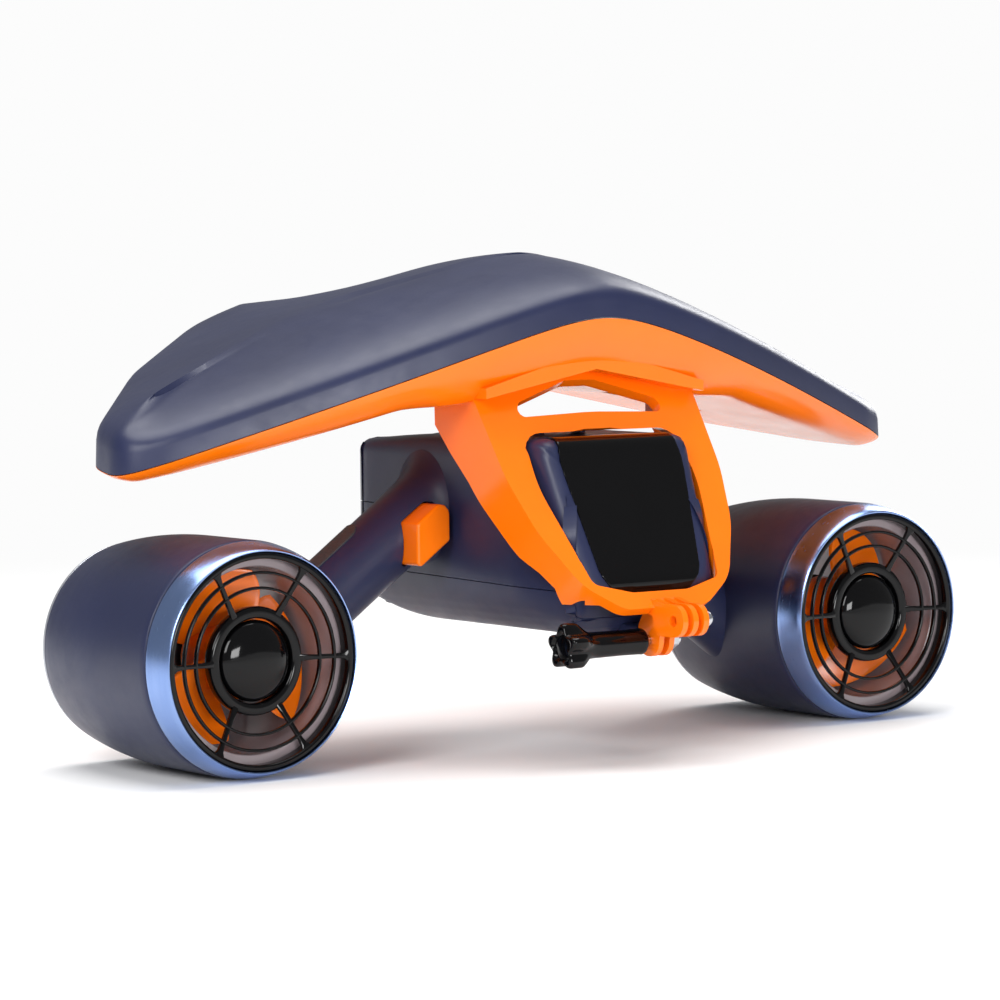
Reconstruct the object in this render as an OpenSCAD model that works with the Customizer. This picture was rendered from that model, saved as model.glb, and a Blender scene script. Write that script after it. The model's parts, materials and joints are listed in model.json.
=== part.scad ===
// Hand-held underwater scooter: two ducted thrusters on sloping handle arms,
// a sealed body between them, and a foam-cored floater on a tilting bracket.
// It stands on its two thruster pods.  The nose faces -Y and +Z is up.
// Left and right are the rider's, so left is +X.

/* [Thruster pods] */
// Distance between the two pod axes
pod_span = 363; // [345:1:440]
// Largest radius of a pod
pod_r = 54; // [52:0.5:66]
// Radius of the pod where the outlet ring ends it
pod_tail_r = 47; // [46:0.5:51]
// Length of a pod from its front lip to its outlet
pod_len = 116; // [112:1:145]
// Length of the metal bezel at the pod's front
bezel_len = 14.3; // [13:0.1:20]
// Radius of the bezel's front lip
bezel_lip_r = 49.4; // [48.6:0.1:51]
// Wall of the pod's outer shell
pod_wall = 2.4; // [1.8:0.1:2.8]
// Inner radius of the water duct
duct_r = 42.5; // [41:0.1:43]
// Wall of the water duct
duct_wall = 2; // [1.5:0.1:2.2]

/* [Thruster] */
// Radius of the propeller over its blade tips
prop_r = 40.5; // [36:0.1:41]
// Number of blades on each propeller
blade_count = 3; // [2:1:5]
// Angle of a blade against the duct's cross-section
blade_pitch = 34; // [20:1:45]
// Thickness of a blade
blade_t = 2.6; // [2:0.1:4]
// Radius of the motor can
motor_r = 16; // [12:0.5:20]
// Length of the motor can
motor_len = 46; // [30:1:50]
// Radius of the motor shaft
shaft_r = 2.5; // [2:0.1:4]
// Number of fixed vanes that hold the motor
vane_count = 5; // [3:1:9]
// Number of spokes in the safety guard
spoke_count = 6; // [4:1:8]

/* [Body] */
// Width of the body
body_w = 93; // [88:1:112]
// Rear end of the body, behind the guard plane
body_rear = 133; // [131:1:160]
// Height of the deck above the pod axis
deck_z = 96.5; // [94:0.5:100]
// Wall of the body shells
body_wall = 2.6; // [2:0.1:3.5]
// Thickness of the glossy nose panel
panel_t = 1.4; // [1:0.1:2]
// Width of the battery pack
battery_w = 50; // [40:1:52]
// Length of the battery pack
battery_len = 92; // [70:1:96]
// Height of the battery pack
battery_h = 56; // [40:1:58]

/* [Handle arms and triggers] */
// Radius of a handle arm
arm_r = 17; // [15:0.5:18]
// Distance of the arms behind the guard plane
arm_y = 70; // [66:1:74]
// Travel of a trigger
trigger_travel = 5; // [3:0.5:6]
// Width of a trigger along the arm
trigger_w = 19; // [14:0.5:22]
// Height of a trigger
trigger_h = 22; // [16:0.5:24]

/* [Tilting bracket and screw joint] */
// Radius of the rounded prongs
prong_r = 7.5; // [7:0.1:8.5]
// Thickness of one prong
prong_t = 3; // [2.6:0.1:3.2]
// Radius of the screw hole through the prongs
prong_hole_r = 2.6; // [2.55:0.01:2.9]
// Thickness of the bracket plate
bracket_t = 6; // [5:0.5:10]
// Wall of the skirt that runs back from the plate's outer edge
skirt_t = 3.4; // [2.6:0.1:5]
// Angle at which the bracket leans back
bracket_lean = 32.6; // [30:0.1:35]

/* [Floater] */
// Width of the floater
float_span = 458; // [430:1:560]
// Rear end of the floater, behind the guard plane
float_rear = 189; // [180:1:220]
// Wall of the floater shells
float_wall = 2.2; // [1.6:0.1:3]
// Depth of the lower shell at the middle
keel_depth = 18; // [16:0.5:21]
// Height of the upper shell at the middle
crown_h = 31; // [26:0.5:37]

/* [Hidden] */

$fn = 64;
eps = 0.01;
fit = 0.12;            // joint line between fixed pieces
running = 0.05;        // radial clearance of a running fit
slide_gap = 0.4;       // clearance around a sliding piece
proud = 0.4;           // a cutting form stands this far outside the skin
big = 400;

pod_x = pod_span / 2;
bezel_back_r = pod_r - 0.3;
skin_flat = 56;        // the pod tapers behind this
outlet_len = 4;
guard_back = 8;
lip_t = 2.6;
lip_r = duct_r + duct_wall + fit;

prop_front = 20;
prop_len = 26;
prop_hub_r = 15.5;
motor_front = prop_front + prop_len + 4;
shaft_front = prop_front - 6;
cable_dy = 8;          // the cable runs behind the arm's axis
mount_front = motor_front + 18;
mount_len = motor_len - 14;
strut_y = arm_y + cable_dy;
bush_len = 5;
bush_r = shaft_r + 3.2;

body_hw = body_w / 2;
hull_z = 1.5;
nose_y = -51;
nose_z = 27;
nose_depth = 17;
arm_root_z = 1.2;
arm_apex_z = 92.1;
arm_slope = atan((arm_apex_z - arm_root_z) / (pod_x - pod_r));
cable_r = 2;
grip_t = 1.6;

pivot = [-52, 2];      // y and z of the bracket's screw joint
camera = [-74.7, 12.7];
prong_pitch = 2 * prong_t + 0.1;
fork_w = 2 * prong_pitch + prong_t;
trigger_front = arm_y - 28;
trigger_back = trigger_front + 16.5;
pocket_floor = trigger_back + trigger_travel + 0.6;

seam_mid = 150.2;
float_half = float_span / 2;
frame_y = (float_rear + camera[0] - prong_r) / 2;

// ---- helpers ----
function unit(v) = v / norm(v);
function normal(a, b) = let (u = unit(b - a)) [-u[1], u[0]];
function xy(p) = [p[0], p[1]];
function corner(a, b, c, r, n = 6) =
  let (u = unit(a - b), v = unit(c - b), half = acos(max(-1, min(1, u * v))) / 2)
  half > 89 || r <= 0 ? [b] :
  let (s = b + u * r / tan(half), e = b + v * r / tan(half),
       m = b + unit(u + v) * r / sin(half))
  [for (i = [0:n]) m + r * unit((s - m) * (n - i) / n + (e - m) * i / n)];
function rounded(p) = let (n = len(p))
  [for (i = [0:n - 1]) each corner(xy(p[(i + n - 1) % n]), xy(p[i]), xy(p[(i + 1) % n]), p[i][2])];
// Moves every edge of an anticlockwise outline inwards by d
function inset(p, d) = let (n = len(p))
  [for (i = [0:n - 1])
    let (k = normal(xy(p[(i + n - 1) % n]), xy(p[i])), m = normal(xy(p[i]), xy(p[(i + 1) % n])),
         q = xy(p[i]) + d * (k + m) / (1 + k * m))
    [q[0], q[1], p[i][2] > d + 1 ? p[i][2] - d : min(p[i][2], 1)]];
function flip(p) = [for (i = [len(p) - 1:-1:0]) [-p[i][0], p[i][1], p[i][2]]];
function sym(p) = concat(p, flip(p));

module left() { children(); }
module right() { mirror([1, 0, 0]) children(); }
module pair() { left() children(); right() children(); }
module placed() { translate([0, -frame_y, pod_r]) children(); }
module along_x(w) { translate([-w / 2, 0, 0]) rotate([90, 0, 90]) linear_extrude(w) children(); }
module along_y(y0, y1) { translate([0, y1, 0]) rotate([90, 0, 0]) linear_extrude(y1 - y0) children(); }
module up_z(z0, z1) { translate([0, 0, z0]) linear_extrude(z1 - z0) children(); }
module at_pod() { translate([pod_x, 0, 0]) children(); }
module turned(pts) { rotate([-90, 0, 0]) rotate_extrude($fn = 96) polygon(pts); }
module tube_y(r1, r0, y0, y1) {
  rotate([-90, 0, 0]) translate([0, 0, y0]) difference() {
    cylinder(r = r1, h = y1 - y0, $fn = 96);
    translate([0, 0, -1]) cylinder(r = r0, h = y1 - y0 + 2, $fn = 96);
  }
}
module rod_x(r, x0, x1) { translate([x0, 0, 0]) rotate([0, 90, 0]) cylinder(r = r, h = x1 - x0); }
module rod_z(r, z0, z1) { translate([0, 0, z0]) cylinder(r = r, h = z1 - z0); }

// ---- thruster pods ----
function skin_r(y) = pod_r - (pod_r - pod_tail_r) * pow(max(0, (y - skin_flat) / (pod_len - skin_flat)), 2);
skin_y = [for (i = [0:10]) 20 + (pod_len - outlet_len - 20) * i / 10];
shell_back = pod_len - outlet_len;

module pod_skin(d) {
  turned(concat([[0, bezel_len + d], [bezel_back_r - d, bezel_len + d]],
    [for (y = skin_y) [skin_r(y) - d, min(y, shell_back - d)]], [[0, shell_back - d]]));
}

module pod_shell() {
  color("midnightblue") difference() {
    at_pod() difference() {
      pod_skin(0);
      turned(concat([[0, bezel_len + lip_t], [bezel_back_r - pod_wall, bezel_len + lip_t]],
        [for (y = skin_y) [skin_r(y) - pod_wall, min(y, shell_back - lip_t)]],
        [[0, shell_back - lip_t]]));
      tube_y(lip_r, 0.5, bezel_len - 5, pod_len);
      rotate([-90, 0, 0]) cylinder(r = 1, h = pod_len);
    }
    cable_way(cable_r + 1);
    pod_screw_places() rod_x(1.6, -20, 20);
  }
}

module bezel() {
  color("lightsteelblue") at_pod() turned([[bezel_lip_r, 0], [bezel_back_r, bezel_len - fit],
    [bezel_back_r - pod_wall, bezel_len - fit], [bezel_back_r - pod_wall, bezel_len - 3.2],
      [bezel_lip_r, guard_back]]);
}

module guard_dish(t) {
  turned([[18, 8 - t], [25, 6.5 - t], [47, 1.5], [47, 1.5 + t], [25, 6.5 + t], [18, 8 + t]]);
}
module guard() {
  color("black") at_pod() union() {
    tube_y(bezel_lip_r - fit, bezel_lip_r - 3.2, 0.6, guard_back - fit);
    intersection() {
      guard_dish(1.6);
      union() {
        tube_y(25, 18.6, -1, 20);
        tube_y(33.7, 32.3, -1, 20);
        tube_y(40.7, 39.3, -1, 20);
        for (i = [0:spoke_count - 1]) rotate([0, 360 / spoke_count * i, 0])
          translate([19, -1, -1]) cube([27.6, 20, 2]);
      }
    }
    tube_y(25, 18.6, 8, 12);
  }
}

module guard_cap() {
  color("black") at_pod() turned([[0, 2.6], [7, 2.9], [12, 3.8], [16, 5.4], [18.5, 7.6],
    [18.5, 12], [0, 12]]);
}

module duct() {
  color("dimgray") difference() {
    at_pod() difference() {
      union() {
        tube_y(duct_r + duct_wall, duct_r, guard_back, shell_back - fit);
        tube_y(bezel_back_r - pod_wall - fit, duct_r, bezel_len - 3, bezel_len - fit);
        tube_y(bezel_lip_r - fit, duct_r, guard_back, guard_back + 3);
      }
      strut() rod_z(cable_r + 0.6, duct_r - 6, duct_r + 8);
    }
  }
}

module outlet_ring() {
  color("silver") at_pod() turned([[duct_r, shell_back], [skin_r(shell_back), shell_back],
    [pod_tail_r, pod_len - 1.5], [pod_tail_r - 2, pod_len], [duct_r, pod_len]]);
}

// The strut that carries the cable from the pod's wall to the motor
wire_dir = [cos(arm_slope), -sin(arm_slope)];
wire_w = [-pod_x, arm_apex_z];
wire_gap_r = duct_r + duct_wall + (pod_r - pod_wall - duct_r - duct_wall) / 2;
wire_t = -(wire_w * wire_dir) - sqrt(pow(wire_w * wire_dir, 2) - wire_w * wire_w + pow(wire_gap_r, 2));
wire_end = wire_w + wire_t * wire_dir;
strut_turn = atan2(wire_end[0], wire_end[1]);
module strut() { translate([0, strut_y, 0]) rotate([0, strut_turn, 0]) children(); }

module motor_mount() {
  hub = motor_r + 2;
  color("dimgray") at_pod() difference() {
    union() {
      tube_y(hub, motor_r + running, mount_front, mount_front + mount_len);
      turned([[0, motor_front + motor_len + fit], [hub, motor_front + motor_len + fit],
        [hub, motor_front + motor_len + 2], [9, motor_front + motor_len + 7],
          [0, motor_front + motor_len + 8]]);
      tube_y(duct_r - fit, duct_r - 1.6, mount_front + 4, mount_front + 26);
      for (i = [0:vane_count - 1]) rotate([0, strut_turn + 36 + 360 / vane_count * i, 0])
        translate([-1, mount_front + 6, hub - 0.6]) cube([2, 18, duct_r - hub - 0.5]);
      strut() rod_z(cable_r + 2, hub - 1, duct_r - 1);
    }
    strut() rod_z(cable_r + 0.4, 0, duct_r + 2);
    rotate([-90, 0, 0]) translate([0, 0, mount_front - 1]) cylinder(r = motor_r + running,
      h = motor_front + motor_len + fit - mount_front + 1, $fn = 96);
  }
}

module motor() {
  color("slategray") at_pod() difference() {
    tube_y(motor_r, bush_r + 0.02, motor_front, motor_front + motor_len);
    strut() rod_z(cable_r + 0.3, motor_r - 4, motor_r + 2);
  }
  color("slategray") at_pod() tube_y(bush_r + 0.5, shaft_r + 0.6, motor_front + bush_len + 0.4,
    motor_front + 30);
  color("slategray") at_pod() tube_y(bush_r + 0.5, 0.4, motor_front + 30 - eps, motor_front + motor_len);
}

module shaft_bush() {
  color("peru") at_pod() tube_y(bush_r, shaft_r + running, motor_front + 0.2, motor_front + bush_len);
}

module motor_shaft() {
  color("silver") at_pod() rotate([-90, 0, 0]) translate([0, 0, shaft_front])
    cylinder(r = shaft_r, h = motor_front + 28 - shaft_front);
}

module propeller() {
  color("darkorange") at_pod() difference() {
    union() {
      tube_y(prop_hub_r, 1, prop_front, prop_front + prop_len);
      intersection() {
        tube_y(prop_r, prop_hub_r - 1, prop_front + 0.6, prop_front + prop_len - 0.6);
        union() for (i = [0:blade_count - 1]) rotate([0, 20 + 360 / blade_count * i, 0])
          translate([0, prop_front + prop_len / 2, 0]) rotate([0, 0, 90 - blade_pitch])
            translate([-blade_t / 2, -40, 8]) cube([blade_t, 80, prop_r]);
      }
    }
    rotate([-90, 0, 0]) translate([0, 0, prop_front - 1]) cylinder(r = shaft_r + 0.02, h = prop_len + 2);
  }
}

module prop_nut() {
  color("silver") at_pod() difference() {
    rotate([-90, 0, 0]) translate([0, 0, shaft_front])
      cylinder(r = 5.6, h = prop_front - shaft_front - 0.1, $fn = 6);
    rotate([-90, 0, 0]) translate([0, 0, shaft_front - 1]) cylinder(r = shaft_r + 0.02, h = 10);
  }
}

// ---- handle arms ----
module on_arm(dy = 0) { translate([0, arm_y + dy, arm_apex_z]) rotate([0, 90 + arm_slope, 0]) children(); }
function arm_z(x) = arm_apex_z - x * tan(arm_slope);
function arm_t(x) = x / cos(arm_slope);
module cable_way(r) {
  on_arm(cable_dy) rod_z(r, arm_t(body_hw - 10), wire_t);
}
module pod_screw_places() {
  for (dz = [-6, 6]) translate([pod_x - pod_r, arm_y - 8, arm_root_z + dz]) children();
}
module body_screw_places() {
  for (dz = [-13, 9]) translate([body_hw, arm_y - 2, arm_z(body_hw) + dz]) children();
}

trigger_x0 = body_hw + 2;
trigger_mid = [trigger_x0 + trigger_w / 2, arm_z(trigger_x0 + trigger_w / 2) - 1];
module trigger_block(d, y0, y1) {
  s = tan(arm_slope) * (trigger_w / 2 + d);
  h = trigger_h / 2 + d * 1.3;
  w = trigger_w / 2 + d;
  translate([trigger_mid[0], 0, trigger_mid[1]]) along_y(y0, y1)
    polygon(rounded([[-w, s - h, 2], [w, -s - h, 2], [w, -s + h, 2], [-w, s + h, 2]]));
}

grip_t0 = arm_t(body_hw + trigger_w + 9);
grip_t1 = arm_t(pod_x - pod_r - 14);
module grip_band(d, rise) {
  on_arm() translate([0, 0, grip_t0 - d]) difference() {
    rotate([0, 0, 20]) intersection() {
      cylinder(r = arm_r + rise, h = grip_t1 - grip_t0 + 2 * d);
      translate([-arm_r * 1.5, 0, -1]) cube([arm_r * 1.6, arm_r * 2, big]);
    }
    translate([0, 0, -1]) cylinder(r = arm_r - grip_t - (d > 0 ? 0.05 : 0), h = big);
  }
}

module arm() {
  color("midnightblue") difference() {
    on_arm() rod_z(arm_r, arm_t(body_hw - 14), arm_t(pod_x - 18));
    body_form(-fit);
    translate([pod_x, 0, 0]) rotate([-90, 0, 0])
      cylinder(r = pod_r + fit, h = big, center = true, $fn = 128);
    cable_way(cable_r + 1);
    trigger_block(slide_gap, arm_y - 30, pocket_floor);
    translate([trigger_mid[0], 0, trigger_mid[1]]) rotate([-90, 0, 0]) translate([0, 0, pocket_floor - 1])
      cylinder(r = 3.5, h = 3.2);
    grip_band(0.2, 1);
    pod_screw_places() rod_x(1.6, -16, 6);
    body_screw_places() rod_x(1.6, -6, 12);
  }
}

module grip_pad() { color("dimgray") grip_band(0, 0.6); }

module trigger() {
  color("darkorange") difference() {
    trigger_block(0, trigger_front, trigger_back);
    translate([trigger_mid[0], 0, trigger_mid[1]]) rotate([-90, 0, 0]) translate([0, 0, trigger_back - 7])
      cylinder(r = 3.6, h = 8);
  }
}

module trigger_spring() {
  color("silver") translate([trigger_mid[0], 0, trigger_mid[1]])
    tube_y(3.1, 2.3, trigger_back - 6.9, pocket_floor - 0.05);
}

module trigger_sensors() {
  color("darkgreen") pair() translate([trigger_mid[0], 0, trigger_mid[1]])
    rotate([-90, 0, 0]) translate([0, 0, pocket_floor]) rod_z(3.3, 0, 2);
}

module motor_cable() {
  color("black") union() {
    on_arm(cable_dy) rod_z(cable_r, arm_t(body_hw - 8), wire_t);
    at_pod() strut() rod_z(cable_r, motor_r - 3.6, norm(wire_end));
    translate([pod_x + wire_end[0], strut_y, wire_end[1]]) sphere(r = cable_r + 0.1, $fn = 24);
  }
}

module arm_screws() {
  color("silver") pair() union() {
    pod_screw_places() union() { rod_x(1.5, -13, 4); rod_x(2.6, 3.6, 5.4); }
    body_screw_places() union() { rod_x(1.5, -body_wall - 0.5, 10); rod_x(2.8, -body_wall - 2.4,
      -body_wall - 0.1); }
  }
}

// ---- body ----
plan_side = [[body_hw, -4, 40], [body_hw, body_rear, 20]];
plan_line = concat([[-37, nose_y - 3, 12], [37, nose_y - 3, 12]], plan_side, flip(plan_side));
side_line = [[nose_y, nose_z, 9], [-31, hull_z, 22], [100, hull_z, 60], [body_rear - 3, 16, 26],
  [body_rear, 60, 30], [body_rear - 5, deck_z - 6.5, 7], [62, deck_z, 40], [-22, deck_z, 7]];
front_side = [[body_hw, hull_z, 34], [body_hw, deck_z, 12]];
front_line = concat(front_side, flip(front_side));
module body_form(d) {
  intersection() {
    up_z(-60, 160) polygon(rounded(inset(plan_line, d)));
    along_x(200) polygon(rounded(inset(side_line, d)));
    along_y(-100, 240) polygon(rounded(inset(front_line, d)));
  }
}
nose_run = (deck_z - nose_z) / (nose_y + 22);
function door_y(z) = nose_y + nose_depth + (nose_z - z) / nose_run;
module ahead_of_door(shift) {
  along_x(200) polygon([[-120, -20], [door_y(-20) - shift, -20], [door_y(130) - shift, 130], [-120, 130]]);
}
seam_line = [[-60, 25], [84, 28], [110, 60], [200, 61]];
module below_seam(d) {
  along_x(200) polygon(concat([[200, -60], [-60, -60]], [for (p = seam_line) [p[0], p[1] - d]]));
}
module body_shell() {
  difference() {
    body_form(0);
    body_form(body_wall);
    ahead_of_door(-fit);
  }
}
boss_places = [[body_hw - 11, 12, 27], [body_hw - 11, 116, 60.3]];
module shell_bosses() { for (p = boss_places) pair() translate([p[0], p[1], 0]) rod_z(4, -20, 120); }
module boss_screw_holes() {
  for (p = boss_places) pair() translate([p[0], p[1], 0]) union() {
    rod_z(1.6, -20, p[2] + 12);
    rod_z(3.2, -20, p[2] - 9.9);
  }
}
battery_z = 21;
battery_y = -6;
display_y = 98;
display_tilt = atan(6.5 / (body_rear - 5 - 62));
module at_display() {
  translate([0, display_y, deck_z - (display_y - 62) * tan(display_tilt)])
    rotate([-display_tilt, 0, 0]) children();
}

module upper_shell() {
  color("midnightblue") difference() {
    union() {
      difference() {
        union() {
          body_shell();
          intersection() {
            body_form(1);
            union() {
              shell_bosses();
              at_display() rod_z(17.5, -4.2, 0);
            }
          }
        }
        below_seam(-fit / 2);
      }
      for (x = [-13.5, 10.3]) translate([x, 18, deck_z - 1.5]) cube([3.2, 9, 7.5]);
    }
    boss_screw_holes();
    at_display() rod_z(15.1, -2.1, 6);
    at_display() rod_z(12, -10, 6);
    translate([0, latch_y, latch_z]) rod_x(latch_pin_r + 0.02, -20, 20);
    pair() union() {
      cable_way(cable_r + 1);
      body_screw_places() rod_x(1.6, -8, 1);
    }
  }
}

module lower_hull() {
  color("darkslateblue") difference() {
    union() {
      intersection() {
        union() {
          body_shell();
          intersection() {
            body_form(1);
            union() {
              shell_bosses();
              for (y = [20, 70]) translate([-22, y, 0]) cube([44, 3, battery_z - 0.1]);
              for (x = [-20, 20]) translate([x, 0, 40]) rotate([-90, 0, 0])
                translate([0, 0, board_y + board_t + 0.05])
                cylinder(r = 3, h = 40);
              for (x = [-20, 17]) translate([x, 60, 0]) cube([3, 52, 10]);
            }
          }
        }
        below_seam(fit / 2);
      }
      foot();
    }
    boss_screw_holes();
  }
}

// Three ears under the nose that carry the bracket
module foot() {
  difference() {
    union() {
      for (k = [-1:1]) translate([k * prong_pitch - prong_t / 2, 0, 0]) rotate([90, 0, 90])
        linear_extrude(prong_t)
        polygon([[pivot[0], pivot[1] - prong_r], [-38, pivot[1] - prong_r + 1], [-24, hull_z + 1],
          [-24, 6], [-36, 8],
          [pivot[0], pivot[1] + prong_r]]);
      for (k = [-1:1]) translate([0, pivot[0], pivot[1]]) rod_x(prong_r, k * prong_pitch - prong_t / 2,
        k * prong_pitch + prong_t / 2);
      translate([-fork_w / 2, 0, 0]) rotate([90, 0, 90]) linear_extrude(fork_w)
        polygon([[-43, pivot[1] - 5], [-38, pivot[1] - prong_r + 1], [-24, hull_z + 1], [-24, 6],
          [-36, 8], [-43, 8]]);
    }
    intersection() { body_form(-0.3); ahead_of_door(-0.4); }
    body_form(body_wall);
    translate([0, pivot[0], pivot[1]]) rod_x(prong_hole_r, -big, big);
    translate([fork_w / 2 - 1.5, pivot[0], pivot[1]]) rotate([0, 90, 0]) cylinder(r = 4.72, h = 5, $fn = 6);
  }
}

module body_screws() {
  color("silver") for (p = boss_places) pair() translate([p[0], p[1], 0]) union() {
    rod_z(1.5, p[2] - 11, p[2] + 11);
    rod_z(3, p[2] - 12.5, p[2] - 10);
  }
}

panel_line = [[-18, nose_z - 6, 12], [18, nose_z - 6, 12], [29, nose_z + 6, 14], [36, deck_z - 10, 10],
  [30, deck_z + 8, 4],
  [-30, deck_z + 8, 4], [-36, deck_z - 10, 10], [-29, nose_z + 6, 14]];
module panel_zone(d) {
  intersection() {
    along_y(-80, door_y(deck_z) - 5 + d) polygon(rounded(inset(panel_line, -d)));
    body_form(-proud);
  }
}

module nose_door() {
  color("midnightblue") difference() {
    intersection() {
      body_form(0);
      ahead_of_door(0);
    }
    intersection() {
      body_form(panel_t + 2.4);
      ahead_of_door(-4);
    }
    difference() {
      panel_zone(fit);
      body_form(panel_t + fit);
    }
  }
}

module nose_panel() {
  color("black") difference() {
    intersection() {
      body_form(0);
      panel_zone(0);
    }
    body_form(panel_t);
  }
}

module nose_seal() {
  color("dimgray") difference() {
    intersection() {
      body_form(panel_t + 2.5);
      ahead_of_door(2);
    }
    body_form(panel_t + 4.6);
    ahead_of_door(5);
  }
}

module battery_pack() {
  color("dimgray") translate([0, battery_y, battery_z]) up_z(0, battery_h) polygon(rounded([
    [-battery_w / 2, 0, 6], [battery_w / 2, 0, 6],
    [battery_w / 2, battery_len, 6], [-battery_w / 2, battery_len, 6]]));
}

board_y = battery_y + battery_len + 6;
board_t = 1.6;
module battery_contacts() {
  color("goldenrod") for (x = [-12, -4, 4, 12])
    translate([x - 1.5, battery_y + battery_len + 0.1, battery_z + 12])
    cube([3, 5.8, 8]);
}

module control_board() {
  color("darkgreen") union() {
    translate([-27, board_y, battery_z + 2]) cube([54, board_t, 46]);
    for (x = [-18, 6]) translate([x, board_y + board_t - eps, battery_z + 4]) cube([12, 4, 9]);
  }
}

module display_lens() { color("black") at_display() rod_z(15, -2, 0.3); }
module display_module() { color("darkslategray") at_display() translate([-8, -8, -6.1]) cube([16, 16, 4]); }

latch_y = 22;
latch_z = deck_z + 3;
latch_pin_r = 1.25;
module door_latch() {
  color("dimgray") difference() {
    union() {
      translate([-10, 8, deck_z + 1.6]) cube([20, 14, 2.6]);
      translate([0, latch_y, latch_z]) rod_x(2.7, -10, 10);
      translate([-7, 5.4, deck_z + 0.7]) cube([14, 3.6, 3.5]);
    }
    translate([0, latch_y, latch_z]) rod_x(latch_pin_r + running, -20, 20);
    translate([-3, latch_y - 3.2, latch_z - 5]) cube([6, 8, 12]);
  }
}
module latch_pin() { color("silver") translate([0, latch_y, latch_z]) rod_x(latch_pin_r, -13.5, 13.5); }
module latch_spring() {
  color("silver") translate([0, latch_y, latch_z]) difference() {
    rod_x(2.1, -2.6, 2.6);
    rod_x(latch_pin_r + 0.1, -4, 4);
  }
}

// ---- clamp screw ----
knob_inner = -fork_w / 2 - 0.6;
knob_neck_end = -42;
knob_end = -55;
knob_r = 11;
module clamp_knob() {
  color("black") translate([0, pivot[0], pivot[1]]) difference() {
    union() {
      rod_x(6, knob_neck_end - 1, knob_inner);
      translate([knob_end, 0, 0]) rotate([90, 0, 90]) linear_extrude(knob_neck_end - knob_end)
        polygon([for (a = [0:6:354]) (knob_r - 1.9 + 1.9 * cos(5 * a)) * [sin(a), cos(a)]]);
    }
    rod_x(2.52, knob_neck_end + 8, 0);
  }
}
module clamp_stud() { color("silver") translate([0, pivot[0], pivot[1]])
  rod_x(2.5, knob_neck_end + 9, 13); }
module hex_nut(x0, x1) {
  difference() {
    translate([x0, 0, 0]) rotate([0, 90, 0]) cylinder(r = 4.6, h = x1 - x0, $fn = 6);
    rod_x(2.56, x0 - 1, x1 + 1);
  }
}
module clamp_nut() { color("silver") translate([0, pivot[0], pivot[1]])
  hex_nut(fork_w / 2 - 1.45, fork_w / 2 + 3); }

// ---- tilting bracket ----
plate_at = [-55.6, 26];
module in_plate() { translate([0, plate_at[0], plate_at[1]]) rotate([90 - bracket_lean, 0, 0]) children(); }
outer_side = [[24, -9.5, 14], [43, 4, 30], [57, 33, 60], [63.2, 62, 80], [65, 118, 4]];
window_side = [[16, -1, 14], [36.5, 4.5, 5], [46.8, 56, 60], [44.6, 80, 7], [8, 86, 8]];
slot_side = [[4, 95, 3], [44, 93.5, 3.4], [40, 101.5, 3.6], [8, 112.5, 12]];
function seam_z(x) = seam_mid - 0.338 * (sqrt(x * x + 795) - 28.2);
function keel_z(x) = seam_z(x) - keel_depth + 0.000235 * x * x;
band_x = [for (i = [-20:20]) i * float_half / 20];
flange_y = [-9, 32];
flange_t = 5;
// Back edge of the skirt, as y and z from its foot to the floater
skirt_back = [[-37, 20], [-37, 27.5], [-31.2, 34.4], [-22.5, 41.3], [-5.6, 61.5], [6.3, 75], [20.4, 88.4],
  [flange_y[1], 101], [flange_y[1], 150]];
skirt_side = concat([for (i = [0:3]) outer_side[i]], [[outer_side[4][0], 160, 4]]);
under_float_line = concat([[-big, -20], [big, -20]],
  [for (i = [len(band_x) - 1:-1:0]) [band_x[i], keel_z(band_x[i]) - fit]]);
module bracket() {
  color("darkorange") difference() {
    intersection() {
      union() {
        in_plate() translate([0, 0, -bracket_t]) linear_extrude(bracket_t) difference() {
          polygon(rounded(sym(outer_side)));
          polygon(rounded(sym(window_side)));
          polygon(rounded(sym(slot_side)));
        }
        along_y(flange_y[0], flange_y[1]) polygon([[-64, keel_z(64) - flange_t], [0, keel_z(0)
          - flange_t - 1],
          [64, keel_z(64) - flange_t], [64, seam_mid], [-64, seam_mid]]);
        bracket_skirt();
        bracket_prongs();
      }
      along_y(-100, 60) polygon(under_float_line);
    }
    body_form(-1);
    camera_hole();
    translate([0, pivot[0], pivot[1]]) rod_x(prong_hole_r, -20, 20);
    bracket_screw_places() rod_z(1.9, -10, 30);
    bracket_screw_places() rod_z(3.3, -20, 0);
  }
}

module bracket_skirt() {
  intersection() {
    in_plate() translate([0, 0, -big / 4]) linear_extrude(big / 4 - 1) difference() {
      polygon(rounded(sym(skirt_side)));
      polygon(rounded(inset(sym(skirt_side), skirt_t)));
    }
    along_x(200) polygon(concat([[-100, 20]], skirt_back, [[-100, 150]]));
  }
}

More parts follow.
